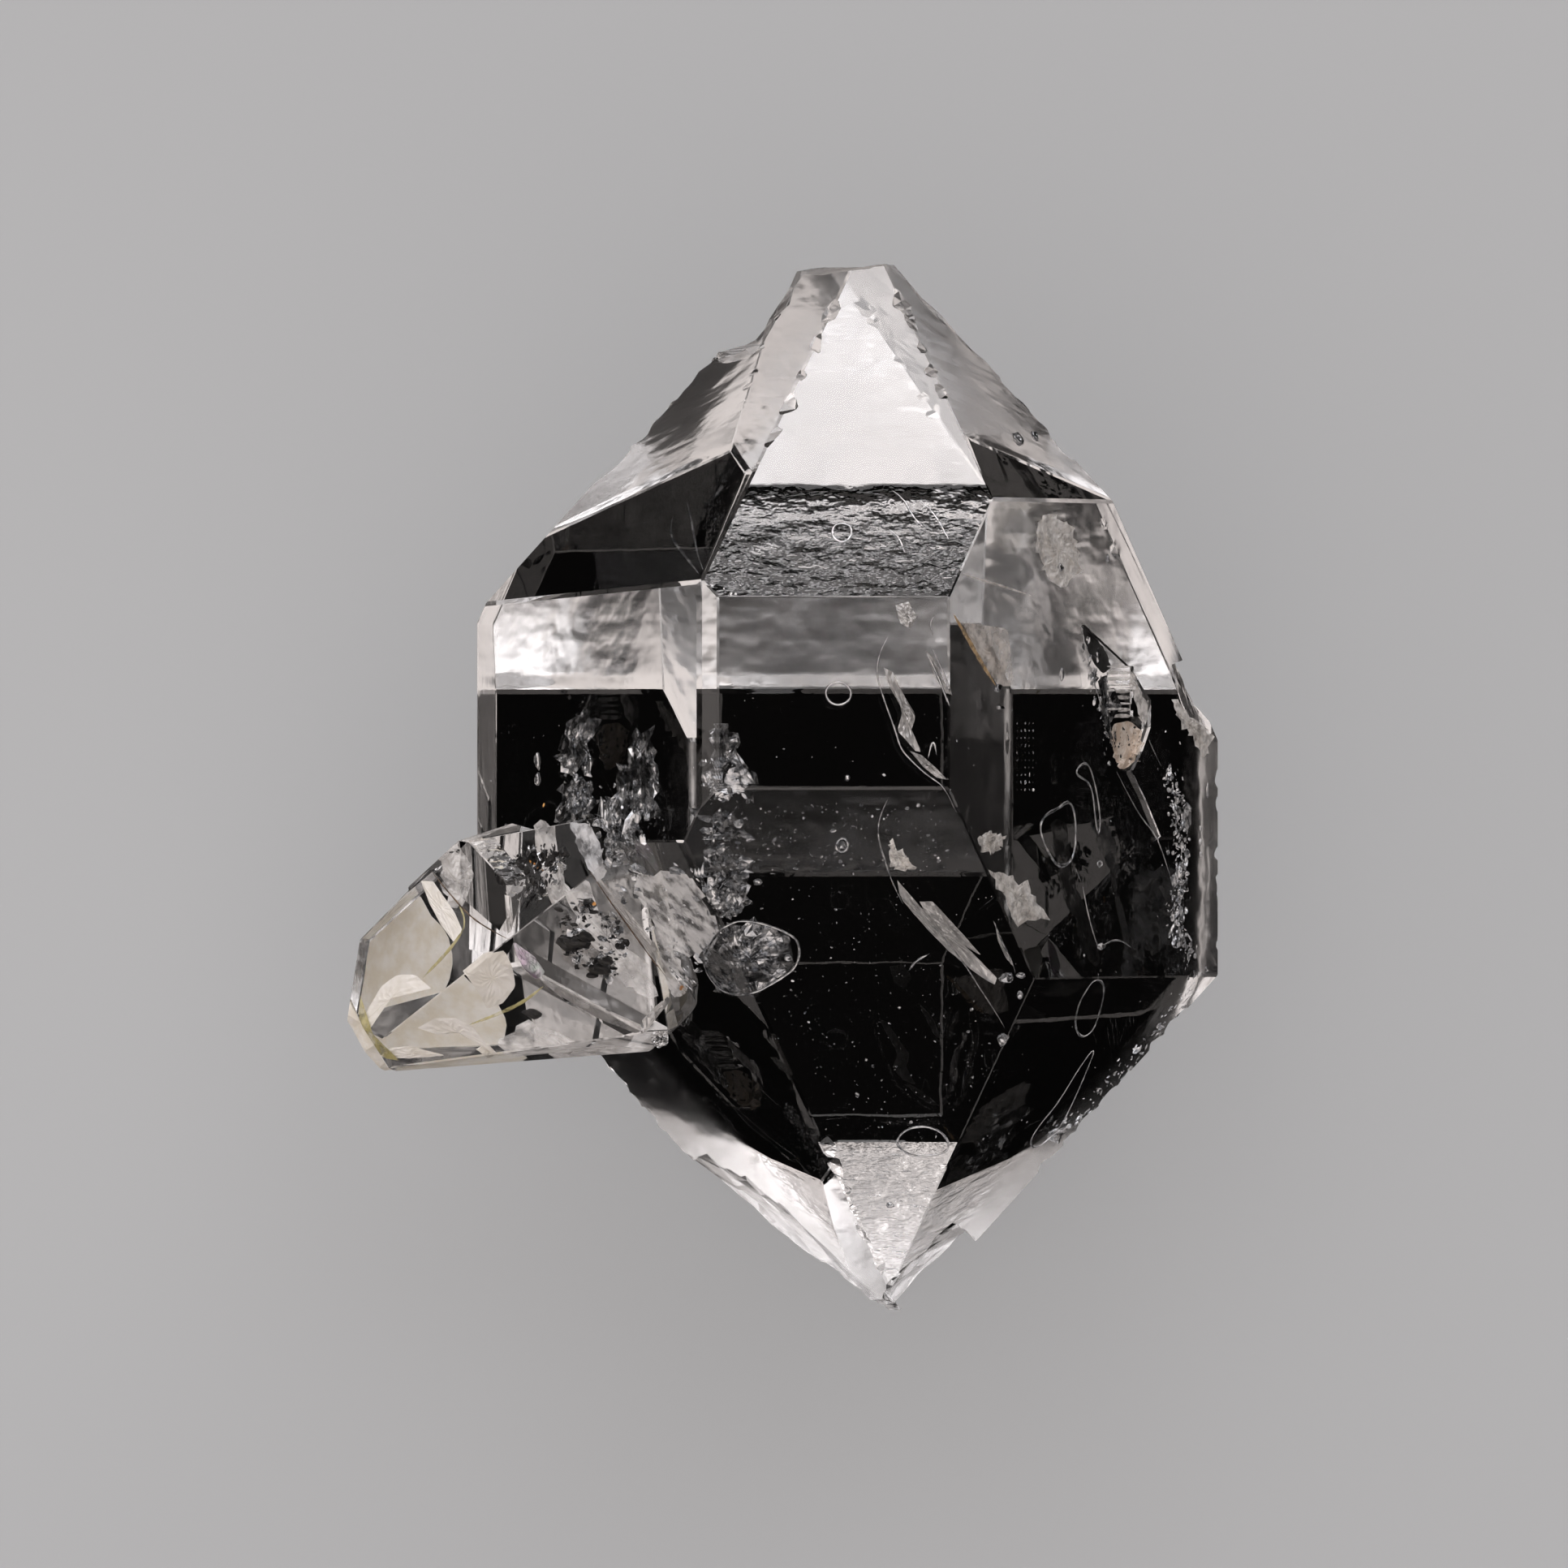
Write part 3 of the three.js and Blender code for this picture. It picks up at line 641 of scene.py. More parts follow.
CRUMPLED = [
    [(-3.71, 1.47), (-3.46, 1.08), (-3.51, 0.46), (-3.55, 0.08), (-3.71, 0.31), (-3.91, 0.11),
        (-4.10, 0.23), (-4.25, 0.31), (-4.22, 0.77), (-4.10, 1.08), (-3.91, 1.16)],
    [(-4.10, 0.00), (-3.91, 0.20), (-3.55, 0.00), (-3.52, -0.54), (-3.59, -0.77), (-4.25, -0.73),
        (-4.28, -0.46)],
    [(-2.70, 1.11), (-2.50, 1.11), (-2.36, 0.62), (-2.27, 0.08), (-2.32, -0.39), (-2.47, -0.70),
        (-2.70, -0.62), (-2.94, -0.31), (-3.01, 0.08), (-2.89, 0.54), (-2.78, 0.77)],
    [(-3.40, -0.15), (-2.94, -0.31), (-2.70, -0.70), (-2.55, -1.16), (-2.70, -1.47), (-3.17, -1.55),
        (-3.40, -1.00), (-3.51, -0.54)],
    [(-1.24, 1.00), (-1.11, 1.16), (-0.93, 1.00), (-0.77, 0.54), (-0.54, 0.23), (-0.62, -0.15),
        (-1.16, -0.20), (-1.39, 0.00), (-1.44, 0.23), (-1.24, 0.46)],
    [(-1.24, -0.39), (-0.93, -0.54), (-0.77, -0.77), (-0.93, -1.00), (-1.24, -0.93), (-1.39, -1.08),
        (-1.44, -0.70)],
    [(-1.47, -1.16), (-1.08, -1.24), (-0.70, -1.31), (-0.62, -1.70), (-0.62, -2.16), (-0.93, -2.40),
        (-1.24, -2.40), (-1.47, -2.09), (-1.50, -1.62)],
    [(-1.08, -2.58), (-0.54, -2.55), (-0.08, -2.70), (0.20, -2.83), (0.31, -3.09), (0.26, -3.40),
        (0.00, -3.63), (-0.31, -3.79), (-0.62, -3.97), (-1.00, -3.97), (-1.24, -3.86), (-1.47, -3.55),
        (-1.50, -3.17), (-1.31, -2.86)],
]
HAZE = [
    [(-2.70, -1.70), (-1.93, -1.59), (-1.62, -1.78), (-1.47, -2.09), (-1.31, -2.40), (-1.16, -2.70),
        (-1.55, -3.25), (-1.93, -3.17), (-2.32, -2.86), (-2.55, -2.40), (-2.78, -2.01)],
    [(-2.55, -2.55), (-2.09, -3.01), (-1.78, -3.63), (-1.81, -3.97), (-2.09, -4.02), (-2.21, -3.63),
        (-2.46, -3.01)],
]
VEIL_GLITTER = [
    [(-4.10, 0.54), (-3.40, 0.08), (-2.24, -0.31), (-2.09, -1.16), (-2.70, -1.70), (-3.32, -1.47),
        (-3.55, -0.85), (-4.25, -0.70)],
    [(-1.44, 0.54), (-0.62, 0.23), (-0.70, -0.54), (-0.54, -2.24), (-1.00, -2.40), (-1.44, -2.09),
        (-1.50, -0.54)],
    [(-3.01, -1.47), (-1.47, -1.47), (-1.00, -2.40), (-1.47, -3.32), (-1.78, -3.94), (-2.24, -3.48),
        (-2.70, -2.55), (-3.17, -1.93)],
]


def crumpled_veil(silver_look):
    """The strongly crumpled patches of the veil, with small holes."""
    parts = [plate(outline, 0.26, seed, crumple=0.11, wobble=0.070)
             for seed, outline in enumerate(CRUMPLED)]
    add_piece("crumpled_veil", parts, silver_look)


def veil_glitter(silver_look):
    """Very thin chips over and between the crumpled patches."""
    counts = (130, 130, 220)
    chip = dict(spread=0.8, thin=0.08, lean=0.6)
    parts = [flakes(inside(outline, count, seed), 0.046, (0.06, 0.4), seed + 5, **chip)
             for seed, (outline, count) in enumerate(zip(VEIL_GLITTER, counts))]
    add_piece("veil_glitter", parts, silver_look)


def veil_haze(haze_look):
    """The white haze at the veil's lower end."""
    parts = [plate(outline, 0.22, 20 + seed, crumple=0.05, around=44, rings=9, wobble=0.039)
             for seed, outline in enumerate(HAZE)]
    add_piece("veil_haze", parts, haze_look)


# Healed cracks: each path's points and width. The loops are closed
THREADS = [
    ([(1.96, 2.78), (1.79, 2.47), (1.72, 2.06), (1.90, 1.50), (2.09, 1.00), (2.18, 0.66),
        (2.43, 0.39), (2.70, 0.15), (3.01, -0.05), (3.17, -0.39), (3.26, -0.57)], 0.046),
    ([(2.83, 3.17), (2.72, 3.01), (2.80, 2.78)], 0.046),
    ([(2.66, 2.47), (2.86, 2.09), (3.04, 1.62), (3.09, 1.44)], 0.062),
    ([(2.77, 2.55), (2.98, 2.12), (3.11, 1.75)], 0.039),
    ([(2.70, 0.48), (2.80, 0.91), (2.86, 0.54)], 0.062),
    ([(1.96, -0.23), (1.78, -0.62), (1.76, -1.00), (1.90, -1.44), (2.04, -1.85), (2.24, -2.24)], 0.046),
    ([(2.40, -2.24), (2.86, -2.70), (3.32, -3.25), (3.71, -3.86), (4.02, -4.33), (4.17, -4.59)], 0.039),
    ([(3.94, -2.55), (4.13, -3.01), (4.33, -3.40), (4.36, -3.55)], 0.046),
    ([(2.35, -3.51), (2.47, -3.32), (2.74, -3.18)], 0.077),
    ([(2.01, 5.52), (2.29, 5.30), (2.40, 5.02), (2.63, 4.79)], 0.062),
    ([(2.55, 5.33), (2.86, 5.02), (3.11, 4.53)], 0.054),
    ([(1.93, 4.79), (2.16, 4.64), (2.27, 4.31)], 0.046),
    ([(-2.09, 5.02), (-2.15, 4.68), (-1.85, 4.28), (-1.59, 3.94)], 0.077),
    ([(-1.81, 5.30), (-1.70, 4.79), (-1.62, 4.33), (-1.50, 4.00)], 0.062),
    ([(5.63, -1.93), (5.72, -2.40), (5.84, -2.86), (5.94, -3.11)], 0.062),
    ([(5.95, -3.11), (6.23, -2.94), (6.41, -2.98), (6.58, -3.11)], 0.046),
    ([(5.49, -1.59), (5.60, -1.85)], 0.039),
    ([(6.29, 0.23), (6.49, -0.15), (6.75, -0.62), (7.03, -0.93), (7.19, -1.31), (7.34, -1.78),
        (7.42, -2.09)], 0.046),
    ([(6.91, 0.85), (7.09, 0.46), (7.16, 0.34)], 0.031),
]
LOOPS = [
    ([(5.35, -0.29), (5.18, -0.46), (4.95, -0.54), (4.79, -0.77), (4.87, -1.08), (5.02, -1.39),
        (5.18, -1.58), (5.39, -1.50), (5.49, -1.24), (5.50, -0.77), (5.46, -0.46)], 0.062),
    ([(5.67, 0.43), (5.49, 0.26), (5.52, 0.15), (5.72, 0.08), (5.83, -0.15), (5.87, -0.62),
        (5.94, -1.05), (5.98, -0.70), (5.92, -0.23), (5.83, 0.15), (5.75, 0.36)], 0.046),
    ([(5.87, -3.68), (5.73, -3.86), (5.56, -4.17), (5.49, -4.59), (5.64, -4.84), (5.87, -4.68),
        (5.98, -4.33), (6.06, -3.97), (6.04, -3.72)], 0.046),
    ([(5.95, -4.93), (5.64, -5.33), (5.18, -6.11), (4.84, -6.49), (4.64, -6.85), (4.79, -6.96),
        (5.18, -6.65), (5.41, -6.26), (5.73, -5.52)], 0.039),
    ([(5.97, -1.44), (5.89, -1.51), (5.97, -1.59), (6.04, -1.51)], 0.046),
    ([(1.02, 1.95), (0.77, 1.81), (0.79, 1.58), (1.00, 1.45), (1.25, 1.56), (1.27, 1.79)], 0.046),
    ([(1.08, 4.91), (0.90, 4.79), (0.91, 4.59), (1.10, 4.50), (1.27, 4.61), (1.27, 4.82)], 0.046),
    ([(1.08, -0.97), (0.96, -1.10), (0.99, -1.25), (1.13, -1.28), (1.22, -1.16), (1.19, -1.02)], 0.054),
    ([(2.09, -6.80), (2.27, -6.54), (2.63, -6.45), (3.01, -6.57), (3.18, -6.91), (2.86, -7.03),
        (2.40, -7.05)], 0.046),
    ([(0.31, -3.09), (0.26, -3.40), (0.00, -3.63), (-0.62, -3.97), (-1.00, -3.97), (-1.24, -3.86),
        (-1.50, -3.51), (-1.50, -3.17), (-1.08, -2.58), (-0.54, -2.55), (0.20, -2.83)], 0.046),
]
# Broader stretches of the cracks
BLADES = [
    [(1.87, 2.18), (2.04, 2.10), (2.15, 1.85), (2.29, 1.59), (2.46, 1.31), (2.44, 1.16),
        (2.38, 1.00), (2.49, 0.77), (2.58, 0.60), (2.46, 0.62), (2.24, 0.88), (2.12, 1.00),
        (2.21, 1.31), (2.15, 1.59), (1.96, 1.85)],
    [(2.13, -1.78), (2.27, -2.01), (2.55, -2.27), (2.86, -2.52), (3.17, -2.77), (3.55, -3.14),
        (4.02, -3.63), (3.97, -3.76), (3.55, -3.48), (3.09, -3.09), (2.70, -2.70), (2.40, -2.36),
        (2.18, -2.09)],
    [(2.55, -2.18), (2.80, -2.18), (3.09, -2.49), (3.40, -2.83), (3.72, -3.20), (3.48, -3.06),
        (3.09, -2.75), (2.70, -2.46)],
    [(2.36, 0.62), (2.58, 0.54), (2.86, 0.29), (3.06, 0.08), (2.86, 0.12), (2.61, 0.32)],
    [(2.66, 2.50), (2.80, 2.36), (2.95, 2.06), (3.11, 1.65), (2.98, 1.75), (2.80, 2.09)],
    [(2.09, 3.35), (2.33, 3.42), (2.49, 3.14), (2.36, 2.92), (2.18, 3.01)],
    [(3.97, -2.58), (4.16, -3.01), (4.34, -3.42), (4.19, -3.26), (4.03, -2.92)],
]


def healed_cracks(silver_look):
    """Fine beaded strands along the cracks."""
    parts = [strand(path, 0.08, 0.75 * width, 0.6 * width) for path, width in THREADS]
    parts += [strand(path, 0.08, 1.05 * width, 0.7 * width, closed=True) for path, width in LOOPS]
    add_piece("healed_cracks", parts, silver_look, smooth=True)


def crack_blades(satin_look):
    """Thin plates where a crack lies flatter."""
    parts = [plate(outline, 0.16, 110 + seed, crumple=0.03, around=40)
             for seed, outline in enumerate(BLADES)]
    add_piece("crack_blades", parts, satin_look)


WHITE_CHIPS = [
    [(1.99, -1.00), (2.09, -1.24), (2.24, -1.24), (2.47, -1.55), (2.24, -1.62), (2.06, -1.59),
        (1.96, -1.31)],
    [(3.83, -1.62), (4.17, -1.70), (4.40, -1.87), (4.59, -1.78), (4.68, -2.09), (4.95, -2.52),
        (4.59, -2.55), (4.40, -2.70), (4.17, -2.24), (3.97, -1.85)],
    [(3.60, -1.00), (3.86, -0.88), (4.10, -1.00), (4.06, -1.19), (3.85, -1.31), (3.66, -1.22)],
    [(4.74, 4.95), (5.02, 5.10), (5.46, 4.87), (5.52, 4.40), (5.56, 4.02), (5.26, 3.66),
        (4.95, 3.86), (4.71, 4.40)],
    [(7.34, 1.65), (7.73, 1.31), (8.19, 0.93), (8.02, 0.46), (7.81, 0.82), (7.50, 1.25)],
]


def white_chips(white_look):
    """Thicker white plates, and one white line."""
    chip = dict(thickness=0.03, crumple=0.045, around=40, rings=8, wobble=0.031)
    parts = [plate(outline, 0.12, 30 + seed, **chip) for seed, outline in enumerate(WHITE_CHIPS)]
    parts.append(strand([(3.34, 3.93), (3.63, 3.85), (4.13, 3.71), (4.64, 3.55)], 0.06, 0.046, 0.023))
    add_piece("white_chips", parts, white_look)


def edge_fringe(pale_look, golden_look):
    """The pale wedge beside the front face's right edge, and the golden fringe along its foot."""
    wedge = [(3.29, 3.04), (4.19, 2.92), (4.31, 1.84), (4.00, 1.84), (3.69, 2.32), (3.45, 2.74)]
    fringe = [(3.14, 3.21), (3.42, 2.74), (3.69, 2.27), (3.96, 1.85)]
    add_piece("pale_wedge", [plate(wedge, 0.1, 151)], pale_look)
    add_piece("golden_fringe", [strand(fringe, 0.08, 0.108, 0.02)], golden_look)


def gas_channel(dark_look, silver_look):
    """The clear channel beside the striated pit, with its bright left edge. Its near-black plate is
    painted shade.
    """
    channel = [(5.63, 3.01), (5.87, 2.80), (6.07, 2.55), (6.20, 2.21), (6.01, 2.09), (5.83, 2.32),
        (5.70, 2.60)]
    edge = [(5.63, 2.94), (5.69, 2.55), (5.81, 2.09), (5.98, 1.55), (6.11, 1.13), (6.17, 0.93)]
    add_piece("channel", [plate(channel, 0.08, 121, crumple=0.01, around=28, wobble=0.008)], dark_look)
    add_piece("channel_edge", [strand(edge, 0.06, 0.039, 0.031)], silver_look, smooth=True)


# Each bubble's place, and half its width and height as seen from above
BRIGHT_DROPS = [
    ((-4.64, 0.45), 0.108, 0.155), ((-4.64, 0.11), 0.093, 0.108), ((1.19, 0.12), 0.046, 0.062),
    ((1.08, -1.13), 0.077, 0.093), ((2.02, -7.98), 0.077, 0.062), ((4.19, -3.63), 0.124, 0.124),
    ((4.48, -3.59), 0.093, 0.062), ((4.45, -3.94), 0.062, 0.093), ((4.13, -4.79), 0.093, 0.139),
    ((4.03, 1.44), 0.124, 0.046), ((3.99, 1.82), 0.124, 0.077), ((5.98, -3.08), 0.139, 0.062),
    ((6.11, 4.28), 0.062, 0.077), ((5.22, 2.09), 0.077, 0.139), ((8.07, -0.11), 0.046, 0.139),
    ((7.93, -0.85), 0.046, 0.062), ((7.93, -1.10), 0.046, 0.062), ((7.94, -1.34), 0.046, 0.062),
    ((-0.49, -1.81), 0.093, 0.077), ((0.08, -3.26), 0.077, 0.077), ((5.18, 4.10), 0.124, 0.077),
    ((6.14, 0.39), 0.062, 0.046), ((4.39, 6.49), 0.124, 0.155), ((4.74, 6.57), 0.093, 0.108),
]


def bright_drops(silver_look):
    parts = [lump(at, (wide, high, 0.5 * wide), 0.2, seed)
             for seed, (at, wide, high) in enumerate(BRIGHT_DROPS)]
    add_piece("bright_drops", parts, silver_look, smooth=True)


GLITTER_TRAIL = [(7.16, 0.34), (7.34, 0.00), (7.43, -0.54), (7.51, -1.16), (7.53, -1.78), (7.43, -2.40),
        (7.50, -2.94), (7.74, -3.40)]
RIM_TRAIL = [(7.81, -3.63), (7.57, -4.10), (7.19, -4.59), (6.72, -5.18), (6.26, -5.64), (5.64, -6.26),
        (5.02, -6.72)]


def glitter(silver_look):
    """Glitter down the right side, along the lower right rim, in the grey band and all through."""
    rows, columns = np.arange(0.015, 1.391, 0.139), np.arange(0, 0.340, 0.077)
    ripples = np.array((4.37, 1.16)) + np.array([(x, -y) for y in rows for x in columns])
    band = [(-1.24, -0.31), (3.09, -0.31), (3.09, -1.59), (-1.24, -1.59)]
    below = [(-1.00, -1.78), (2.09, -1.78), (4.10, -5.02), (3.48, -6.72), (1.16, -6.72)]
    everywhere = [(-5.64, 1.62), (8.11, 1.62), (8.11, -3.48), (4.10, -7.03), (0.54, -6.72),
        (-1.93, -4.10), (-5.64, -0.70)]
    parts = [
        flakes(beside(GLITTER_TRAIL, 330, 0.170, 41), 0.049, (0.05, 0.25), 42),
        flakes(beside(RIM_TRAIL, 150, 0.201, 43), 0.046, (0.05, 0.3), 44),
        flakes(ripples, 0.025, (0.05, 0.07), 45),
        flakes(inside(band, 260, 46), 0.020, (0.05, 0.5), 47),
        flakes(inside(below, 320, 48), 0.012, (0.05, 0.6), 49),
        flakes(inside(everywhere, 420, 50), 0.012, (0.05, 0.8), 51),
    ]
    add_piece("glitter", parts, silver_look)


def pit_lining(silver_look, white_look, stain_look, dark_look):
    """What fills the striated pit: narrow bright stripes, silvery chips down its left side, a pale
    strip down its right side and a light brown stain with black grains at its foot."""
    left_side = [(5.64, 2.83), (5.77, 2.24), (5.89, 1.75), (6.07, 1.24), (6.20, 0.62)]
    left_band = [(5.98, 2.06), (6.11, 2.09), (6.17, 1.31), (6.20, 0.73), (6.07, 1.00), (5.98, 1.47)]
    stain = [(6.24, 1.13), (6.57, 1.22), (6.79, 1.04), (6.80, 0.70), (6.55, 0.31), (6.31, 0.28),
        (6.20, 0.70)]
    pale = [(6.58, 2.15), (6.75, 1.81), (6.89, 1.53), (6.89, 1.13), (6.77, 1.19), (6.66, 1.59),
        (6.57, 1.85)]
    left, right, highest, apart = 6.12, 6.57, 2.23, 0.117
    stripes = []
    for index in range(9):
        high = highest - index * apart
        path = [(left, high), (0.5 * (left + right), high), (right, high)]
        width = 0.071 if index % 3 else 0.040
        stripes.append(strand(path, 0.03, width, 0.02, taper=0.15))
    add_piece("pit_stripes", stripes, white_look)
    chips = [flakes(beside(left_side, 90, 0.139, 91), 0.053, (0.03, 0.1), 92)]
    chips.append(plate(left_band, 0.05, 93, crumple=0.04, around=24, rings=5, wobble=0.031))
    add_piece("pit_chips", chips, silver_look)
    stain_plate = plate(stain, 0.05, 94, around=28, rings=5, wobble=0.023)
    add_piece("pit_stain", [stain_plate], stain_look)
    strip = plate(pale, 0.05, 95, around=24, rings=5, wobble=0.015)
    add_piece("pit_pale_strip", [strip], white_look)
    add_piece("pit_grains", [flakes(inside(stain, 36, 96), 0.026, (0.02, 0.03), 97, thin=0.6)], dark_look)


# What is sealed in the small crystal

# Each lump's place, and half its width and height as seen from above
BLACK_LUMPS = [
    ((-5.26, -1.76), 0.185, 0.155), ((-4.98, -1.53), 0.170, 0.093), ((-4.39, -1.44), 0.139, 0.108),
    ((-4.00, -2.98), 0.263, 0.216), ((-3.79, -2.86), 0.155, 0.124), ((-3.51, -3.42), 0.201, 0.185),
    ((-3.38, -3.32), 0.124, 0.093), ((-3.59, -2.40), 0.077, 0.062), ((-3.09, -3.01), 0.077, 0.108),
    ((-4.10, -1.34), 0.077, 0.062), ((-4.71, -1.85), 0.077, 0.062), ((-3.63, -3.60), 0.093, 0.062),
    ((-4.79, -4.33), 0.170, 0.108), ((-4.25, -2.36), 0.077, 0.046), ((-3.97, -2.64), 0.062, 0.046),
]
CLUSTERS = [
    [(-5.44, -1.70), (-5.02, -1.24), (-4.40, -1.08), (-4.06, -1.31), (-4.16, -1.85), (-4.64, -2.27),
        (-5.02, -2.21)],
    [(-4.25, -2.40), (-3.86, -2.01), (-3.17, -2.40), (-2.91, -3.01), (-3.17, -3.69), (-3.71, -3.63),
        (-4.22, -3.17)],
]
CREAM_BARS = [
    [(-8.07, -4.65), (-7.88, -4.25), (-7.65, -3.86), (-7.34, -3.63), (-6.99, -3.63), (-6.66, -3.91),
        (-7.00, -3.82), (-7.31, -3.88), (-7.59, -4.19), (-7.87, -4.68), (-7.99, -4.81)],
    [(-6.97, -4.62), (-6.65, -4.44), (-6.26, -4.42), (-5.92, -4.59), (-5.50, -5.12), (-5.80, -4.90),
        (-6.26, -4.68), (-6.65, -4.74)],
    [(-7.70, -5.19), (-7.50, -5.01), (-7.11, -4.96), (-6.45, -5.15), (-7.11, -5.21)],
    [(-5.86, -5.02), (-5.64, -4.90), (-5.44, -5.12), (-5.64, -5.21)],
    [(-6.88, -1.85), (-6.65, -1.85), (-6.26, -2.40), (-6.09, -2.78), (-6.26, -3.01), (-6.49, -2.70),
        (-6.72, -2.27)],
    [(-6.07, -3.55), (-5.64, -3.20), (-5.30, -3.14), (-5.15, -3.40), (-5.09, -3.82), (-5.33, -4.13),
        (-5.64, -4.25), (-5.80, -3.94)],
]
YELLOW_RIMS = [
    ([(-6.04, -2.70), (-6.20, -2.98), (-6.46, -3.29), (-6.85, -3.69)], 0.077),
    ([(-4.56, -3.82), (-4.95, -4.13), (-5.46, -4.37), (-5.98, -4.56)], 0.077),
    ([(-6.17, -2.27), (-6.03, -2.55), (-6.07, -2.77)], 0.046),
]
STAINED_EDGE = [(-8.07, -4.03), (-7.96, -4.44), (-7.79, -4.87), (-7.53, -5.15), (-7.31, -5.27),
        (-7.59, -5.22), (-7.84, -5.05), (-8.01, -4.78), (-8.10, -4.40)]
# Faint clouds: each outline, and the height it lies at
MILKY = [
    ([(-6.14, -1.34), (-5.49, -1.16), (-5.21, -1.34), (-5.33, -1.78), (-5.64, -2.40), (-6.03, -2.40),
        (-6.23, -2.01)], 7.35),
    ([(-4.02, -0.70), (-3.55, -0.73), (-3.40, -1.31), (-3.01, -2.09), (-2.40, -2.86), (-2.21, -3.48),
        (-2.55, -3.63), (-3.17, -2.70), (-3.71, -1.93)], 7.5),
    ([(-4.79, -4.19), (-3.79, -4.59), (-2.70, -4.79), (-2.94, -4.99), (-4.10, -5.05), (-5.02, -5.09),
        (-5.49, -4.79)], 7.0),
]
PALE_RIDGES = [
    [(-4.68, -3.66), (-4.40, -3.74), (-3.55, -4.19), (-2.67, -4.59), (-2.74, -4.74), (-3.45, -4.47),
        (-4.25, -4.00)],
    [(-2.70, -4.48), (-2.46, -4.22), (-2.21, -4.02), (-2.18, -4.13), (-2.43, -4.44), (-2.64, -4.71)],
    [(-3.60, -1.65), (-3.45, -1.78), (-2.55, -2.86), (-2.09, -3.71), (-2.24, -3.63), (-2.78, -2.86),
        (-3.35, -2.09)],
    [(-5.27, -2.09), (-5.18, -2.12), (-5.12, -2.70), (-5.22, -2.86)],
]


def inside_the_tip(cream_look, yellow_look, hazy_look, satin_look, film_look):
    """What shows in the small crystal: cream bars and yellow rims where its crust folds up, faint
    clouds, pale ridges and one thin film with the colours of an oil film."""
    bars = [plate(outline, 0.1, 130 + seed, around=36)
            for seed, outline in enumerate(CREAM_BARS)]
    add_piece("cream_bars", bars, cream_look)
    rims = [strand(path, 0.08, width, 0.02) for path, width in YELLOW_RIMS]
    rims.append(plate(STAINED_EDGE, 0.04, 135, crumple=0.01, rings=5))
    add_piece("yellow_rims", rims, yellow_look)
    cloud = dict(thickness=0.04, crumple=0.04, around=36, rings=8, wobble=0.046)
    clouds = [plate(outline, None, 100 + seed, level=level, **cloud)
              for seed, (outline, level) in enumerate(MILKY)]
    add_piece("milky_clouds", clouds, hazy_look)
    ridges = [plate(outline, 0.08, 140 + seed, crumple=0.01, rings=5)
              for seed, outline in enumerate(PALE_RIDGES)]
    add_piece("pale_ridges", ridges, satin_look)
    outline = [(-5.12, -2.98), (-4.95, -3.11), (-4.74, -3.26), (-4.53, -3.57), (-4.68, -3.69),
        (-4.90, -3.51), (-5.05, -3.26)]
    film = plate(outline, 0.08, 150, crumple=0.01, around=28, rings=5)
    add_piece("coloured_film", [film], film_look)


def black_specks(black_look):
    """Two groups of black lumps with fine black grains between them."""
    parts = [lump(at, (wide, high, 0.6 * high), 0.3, 60 + seed)
             for seed, (at, wide, high) in enumerate(BLACK_LUMPS)]
    parts += [flakes(inside(outline, 60, 75 + seed), 0.040, (0.05, 0.25), 78 + seed, thin=0.6)
              for seed, outline in enumerate(CLUSTERS)]
    add_piece("black_specks", parts, black_look)


def speck_glitter(silver_look, amber_look):
    """Silvery chips among the black specks, and a few amber ones."""
    parts = [flakes(inside(outline, 120, 80 + seed), 0.049, (0.05, 0.3), 84 + seed)
             for seed, outline in enumerate(CLUSTERS)]
    add_piece("speck_glitter", parts, silver_look)
    sparks = [(-4.71, -1.51), (-4.65, -1.59), (-4.79, -1.47), (-3.59, -2.24), (-4.54, -0.40),
        (-1.90, -3.83)]
    add_piece("amber_sparks", [flakes(sparks, 0.054, (0.04, 0.08), 88)], amber_look)


def seam_lines(dark_look):
    """The dark hairline between the small crystal's halves, and the brown one beside its neck."""
    hairline = [(-6.71, -1.65), (-6.31, -2.13), (-5.94, -2.53), (-5.56, -2.77), (-5.22, -2.94)]
    neck = [(-3.66, -1.65), (-3.35, -2.12), (-3.00, -2.61), (-2.58, -3.20), (-2.16, -3.77)]
    parts = [strand(hairline, 0.03, 0.034, 0.023), strand(neck, 0.03, 0.031, 0.023)]
    add_piece("seam_lines", parts, dark_look, smooth=True)


def neck_film(haze_look):
    """A hazy film across the top of the neck between the crystals."""
    outline = [(-4.05, -0.73), (-3.66, -0.77), (-3.45, -1.16), (-3.35, -1.70), (-3.51, -1.85),
        (-3.72, -1.50), (-3.91, -1.08)]
    add_piece("neck_film", [plate(outline, 0.06, 90, wobble=0.015)], haze_look)


look_down()
floor()
studio()
quartz.data.materials.clear()
quartz.data.materials.append(clear_quartz())
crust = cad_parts["dolomite_crust"]
crust.data.materials.clear()
crust.data.materials.append(cream_dolomite())

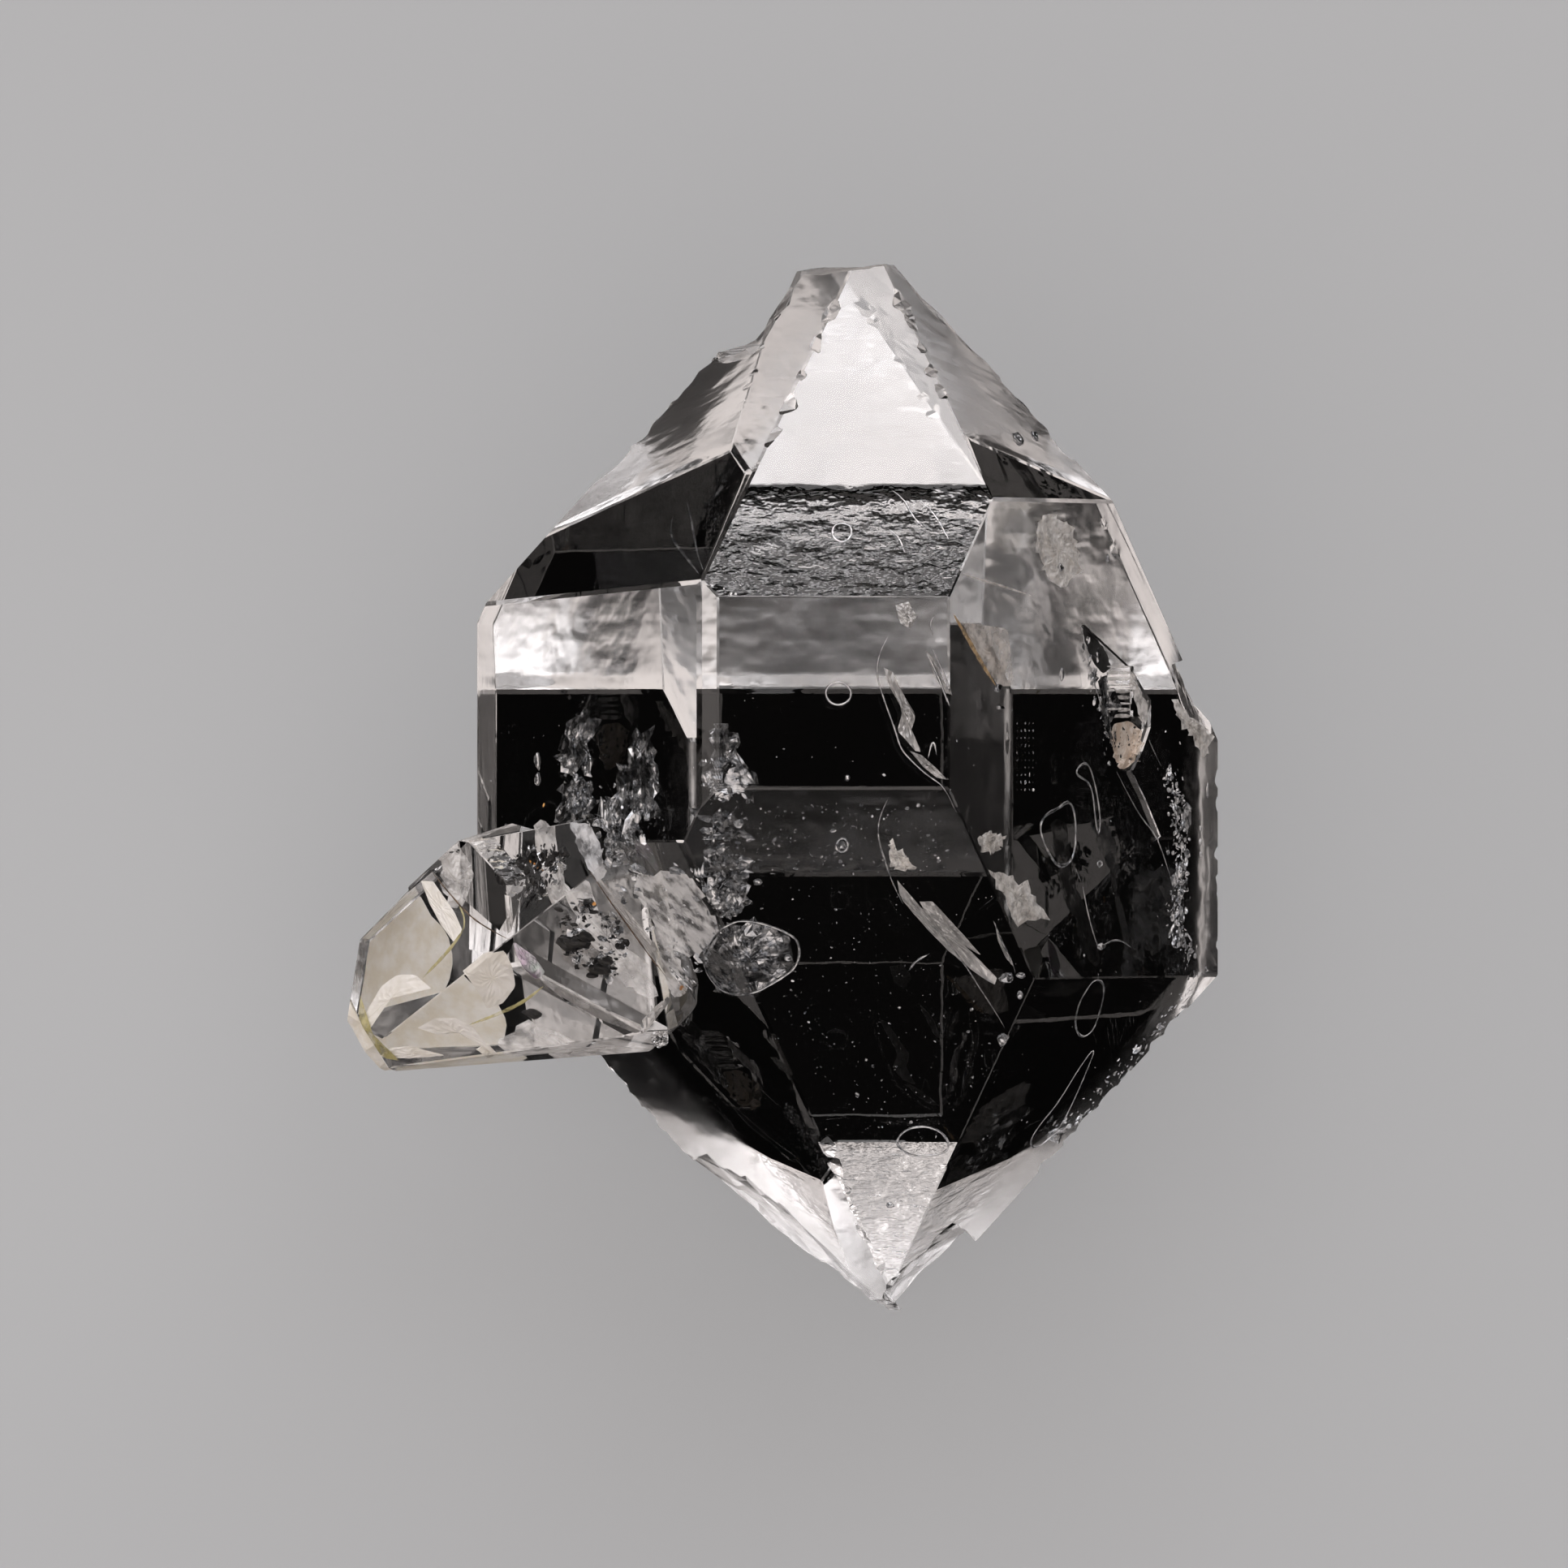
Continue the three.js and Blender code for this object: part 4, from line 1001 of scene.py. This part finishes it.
film = silver("gas film", 0.95, 0.12)
healed_haze = stony("fine healed haze", (0.75, 0.77, 0.8), (0.95, 0.96, 0.98), 2.0, 0.5, 0.6, clear=0.15)
white = stony("white crack", (0.86, 0.84, 0.82), (1.0, 0.99, 0.98), 3.0, 0.4, alpha=0.95)
tar = stony("black specks", (0.008, 0.008, 0.009), (0.03, 0.028, 0.026), 9.0, 0.3)
amber = stony("amber spark", (0.5, 0.2, 0.04), (0.8, 0.42, 0.12), 6.0, 0.4)
stain = stony("light brown stain", (0.62, 0.5, 0.4), (0.86, 0.78, 0.7), 5.0, 0.6)
crumpled_veil(silver("crumpled film", 0.98, 0.1, holes=True))
veil_glitter(film)
veil_haze(stony("white haze", (0.86, 0.86, 0.87), (1.0, 1.0, 1.0), 1.6, 0.4, 0.8, clear=0.08))
healed_cracks(film)
satin_film = satin("satin film", 0.35)
white_chips(stony("white chips", (0.8, 0.77, 0.73), (1.0, 0.99, 0.97), 3.0, 0.4, 0.95))
crack_blades(satin_film)
pit_lining(film, white, stain, tar)
bright_drops(film)
glitter(film)
edge_fringe(
    stony("pale wedge", (0.8, 0.74, 0.68), (0.96, 0.92, 0.88), 2.0, 0.5, 0.65),
    stony("golden fringe", (0.5, 0.34, 0.16), (0.85, 0.66, 0.42), 3.0, 0.5, 0.8),
)
# The channel's near-black colour is painted shade
gas_channel(stony("painted shade channel", (0.01, 0.01, 0.01), (0.05, 0.05, 0.05), 3.0, 0.3), film)
inside_the_tip(
    stony("cream bar", (0.88, 0.85, 0.78), (1.0, 0.98, 0.94), 2.0, 0.5),
    stony("yellow rim", (0.5, 0.45, 0.2), (0.72, 0.66, 0.38), 2.5, 0.5, 0.85),
    stony("milky quartz", (0.86, 0.85, 0.84), (1.0, 0.99, 0.98), 1.5, 0.7, 0.7),
    satin("pale ridge", 0.25),
    satin("coloured film", 0.7, (0.5, 0.85, 0.6, 1), (0.9, 0.5, 0.85, 1)),
)
black_specks(tar)
speck_glitter(film, amber)
seam_lines(stony("dark seam", (0.05, 0.03, 0.02), (0.2, 0.13, 0.08), 7.0, 0.5))
neck_film(healed_haze)

light_bounces = 24
scene = bpy.context.scene
scene.cycles.max_bounces = light_bounces
scene.cycles.transmission_bounces = light_bounces
scene.cycles.caustics_refractive = False
scene.view_settings.view_transform = "Standard"
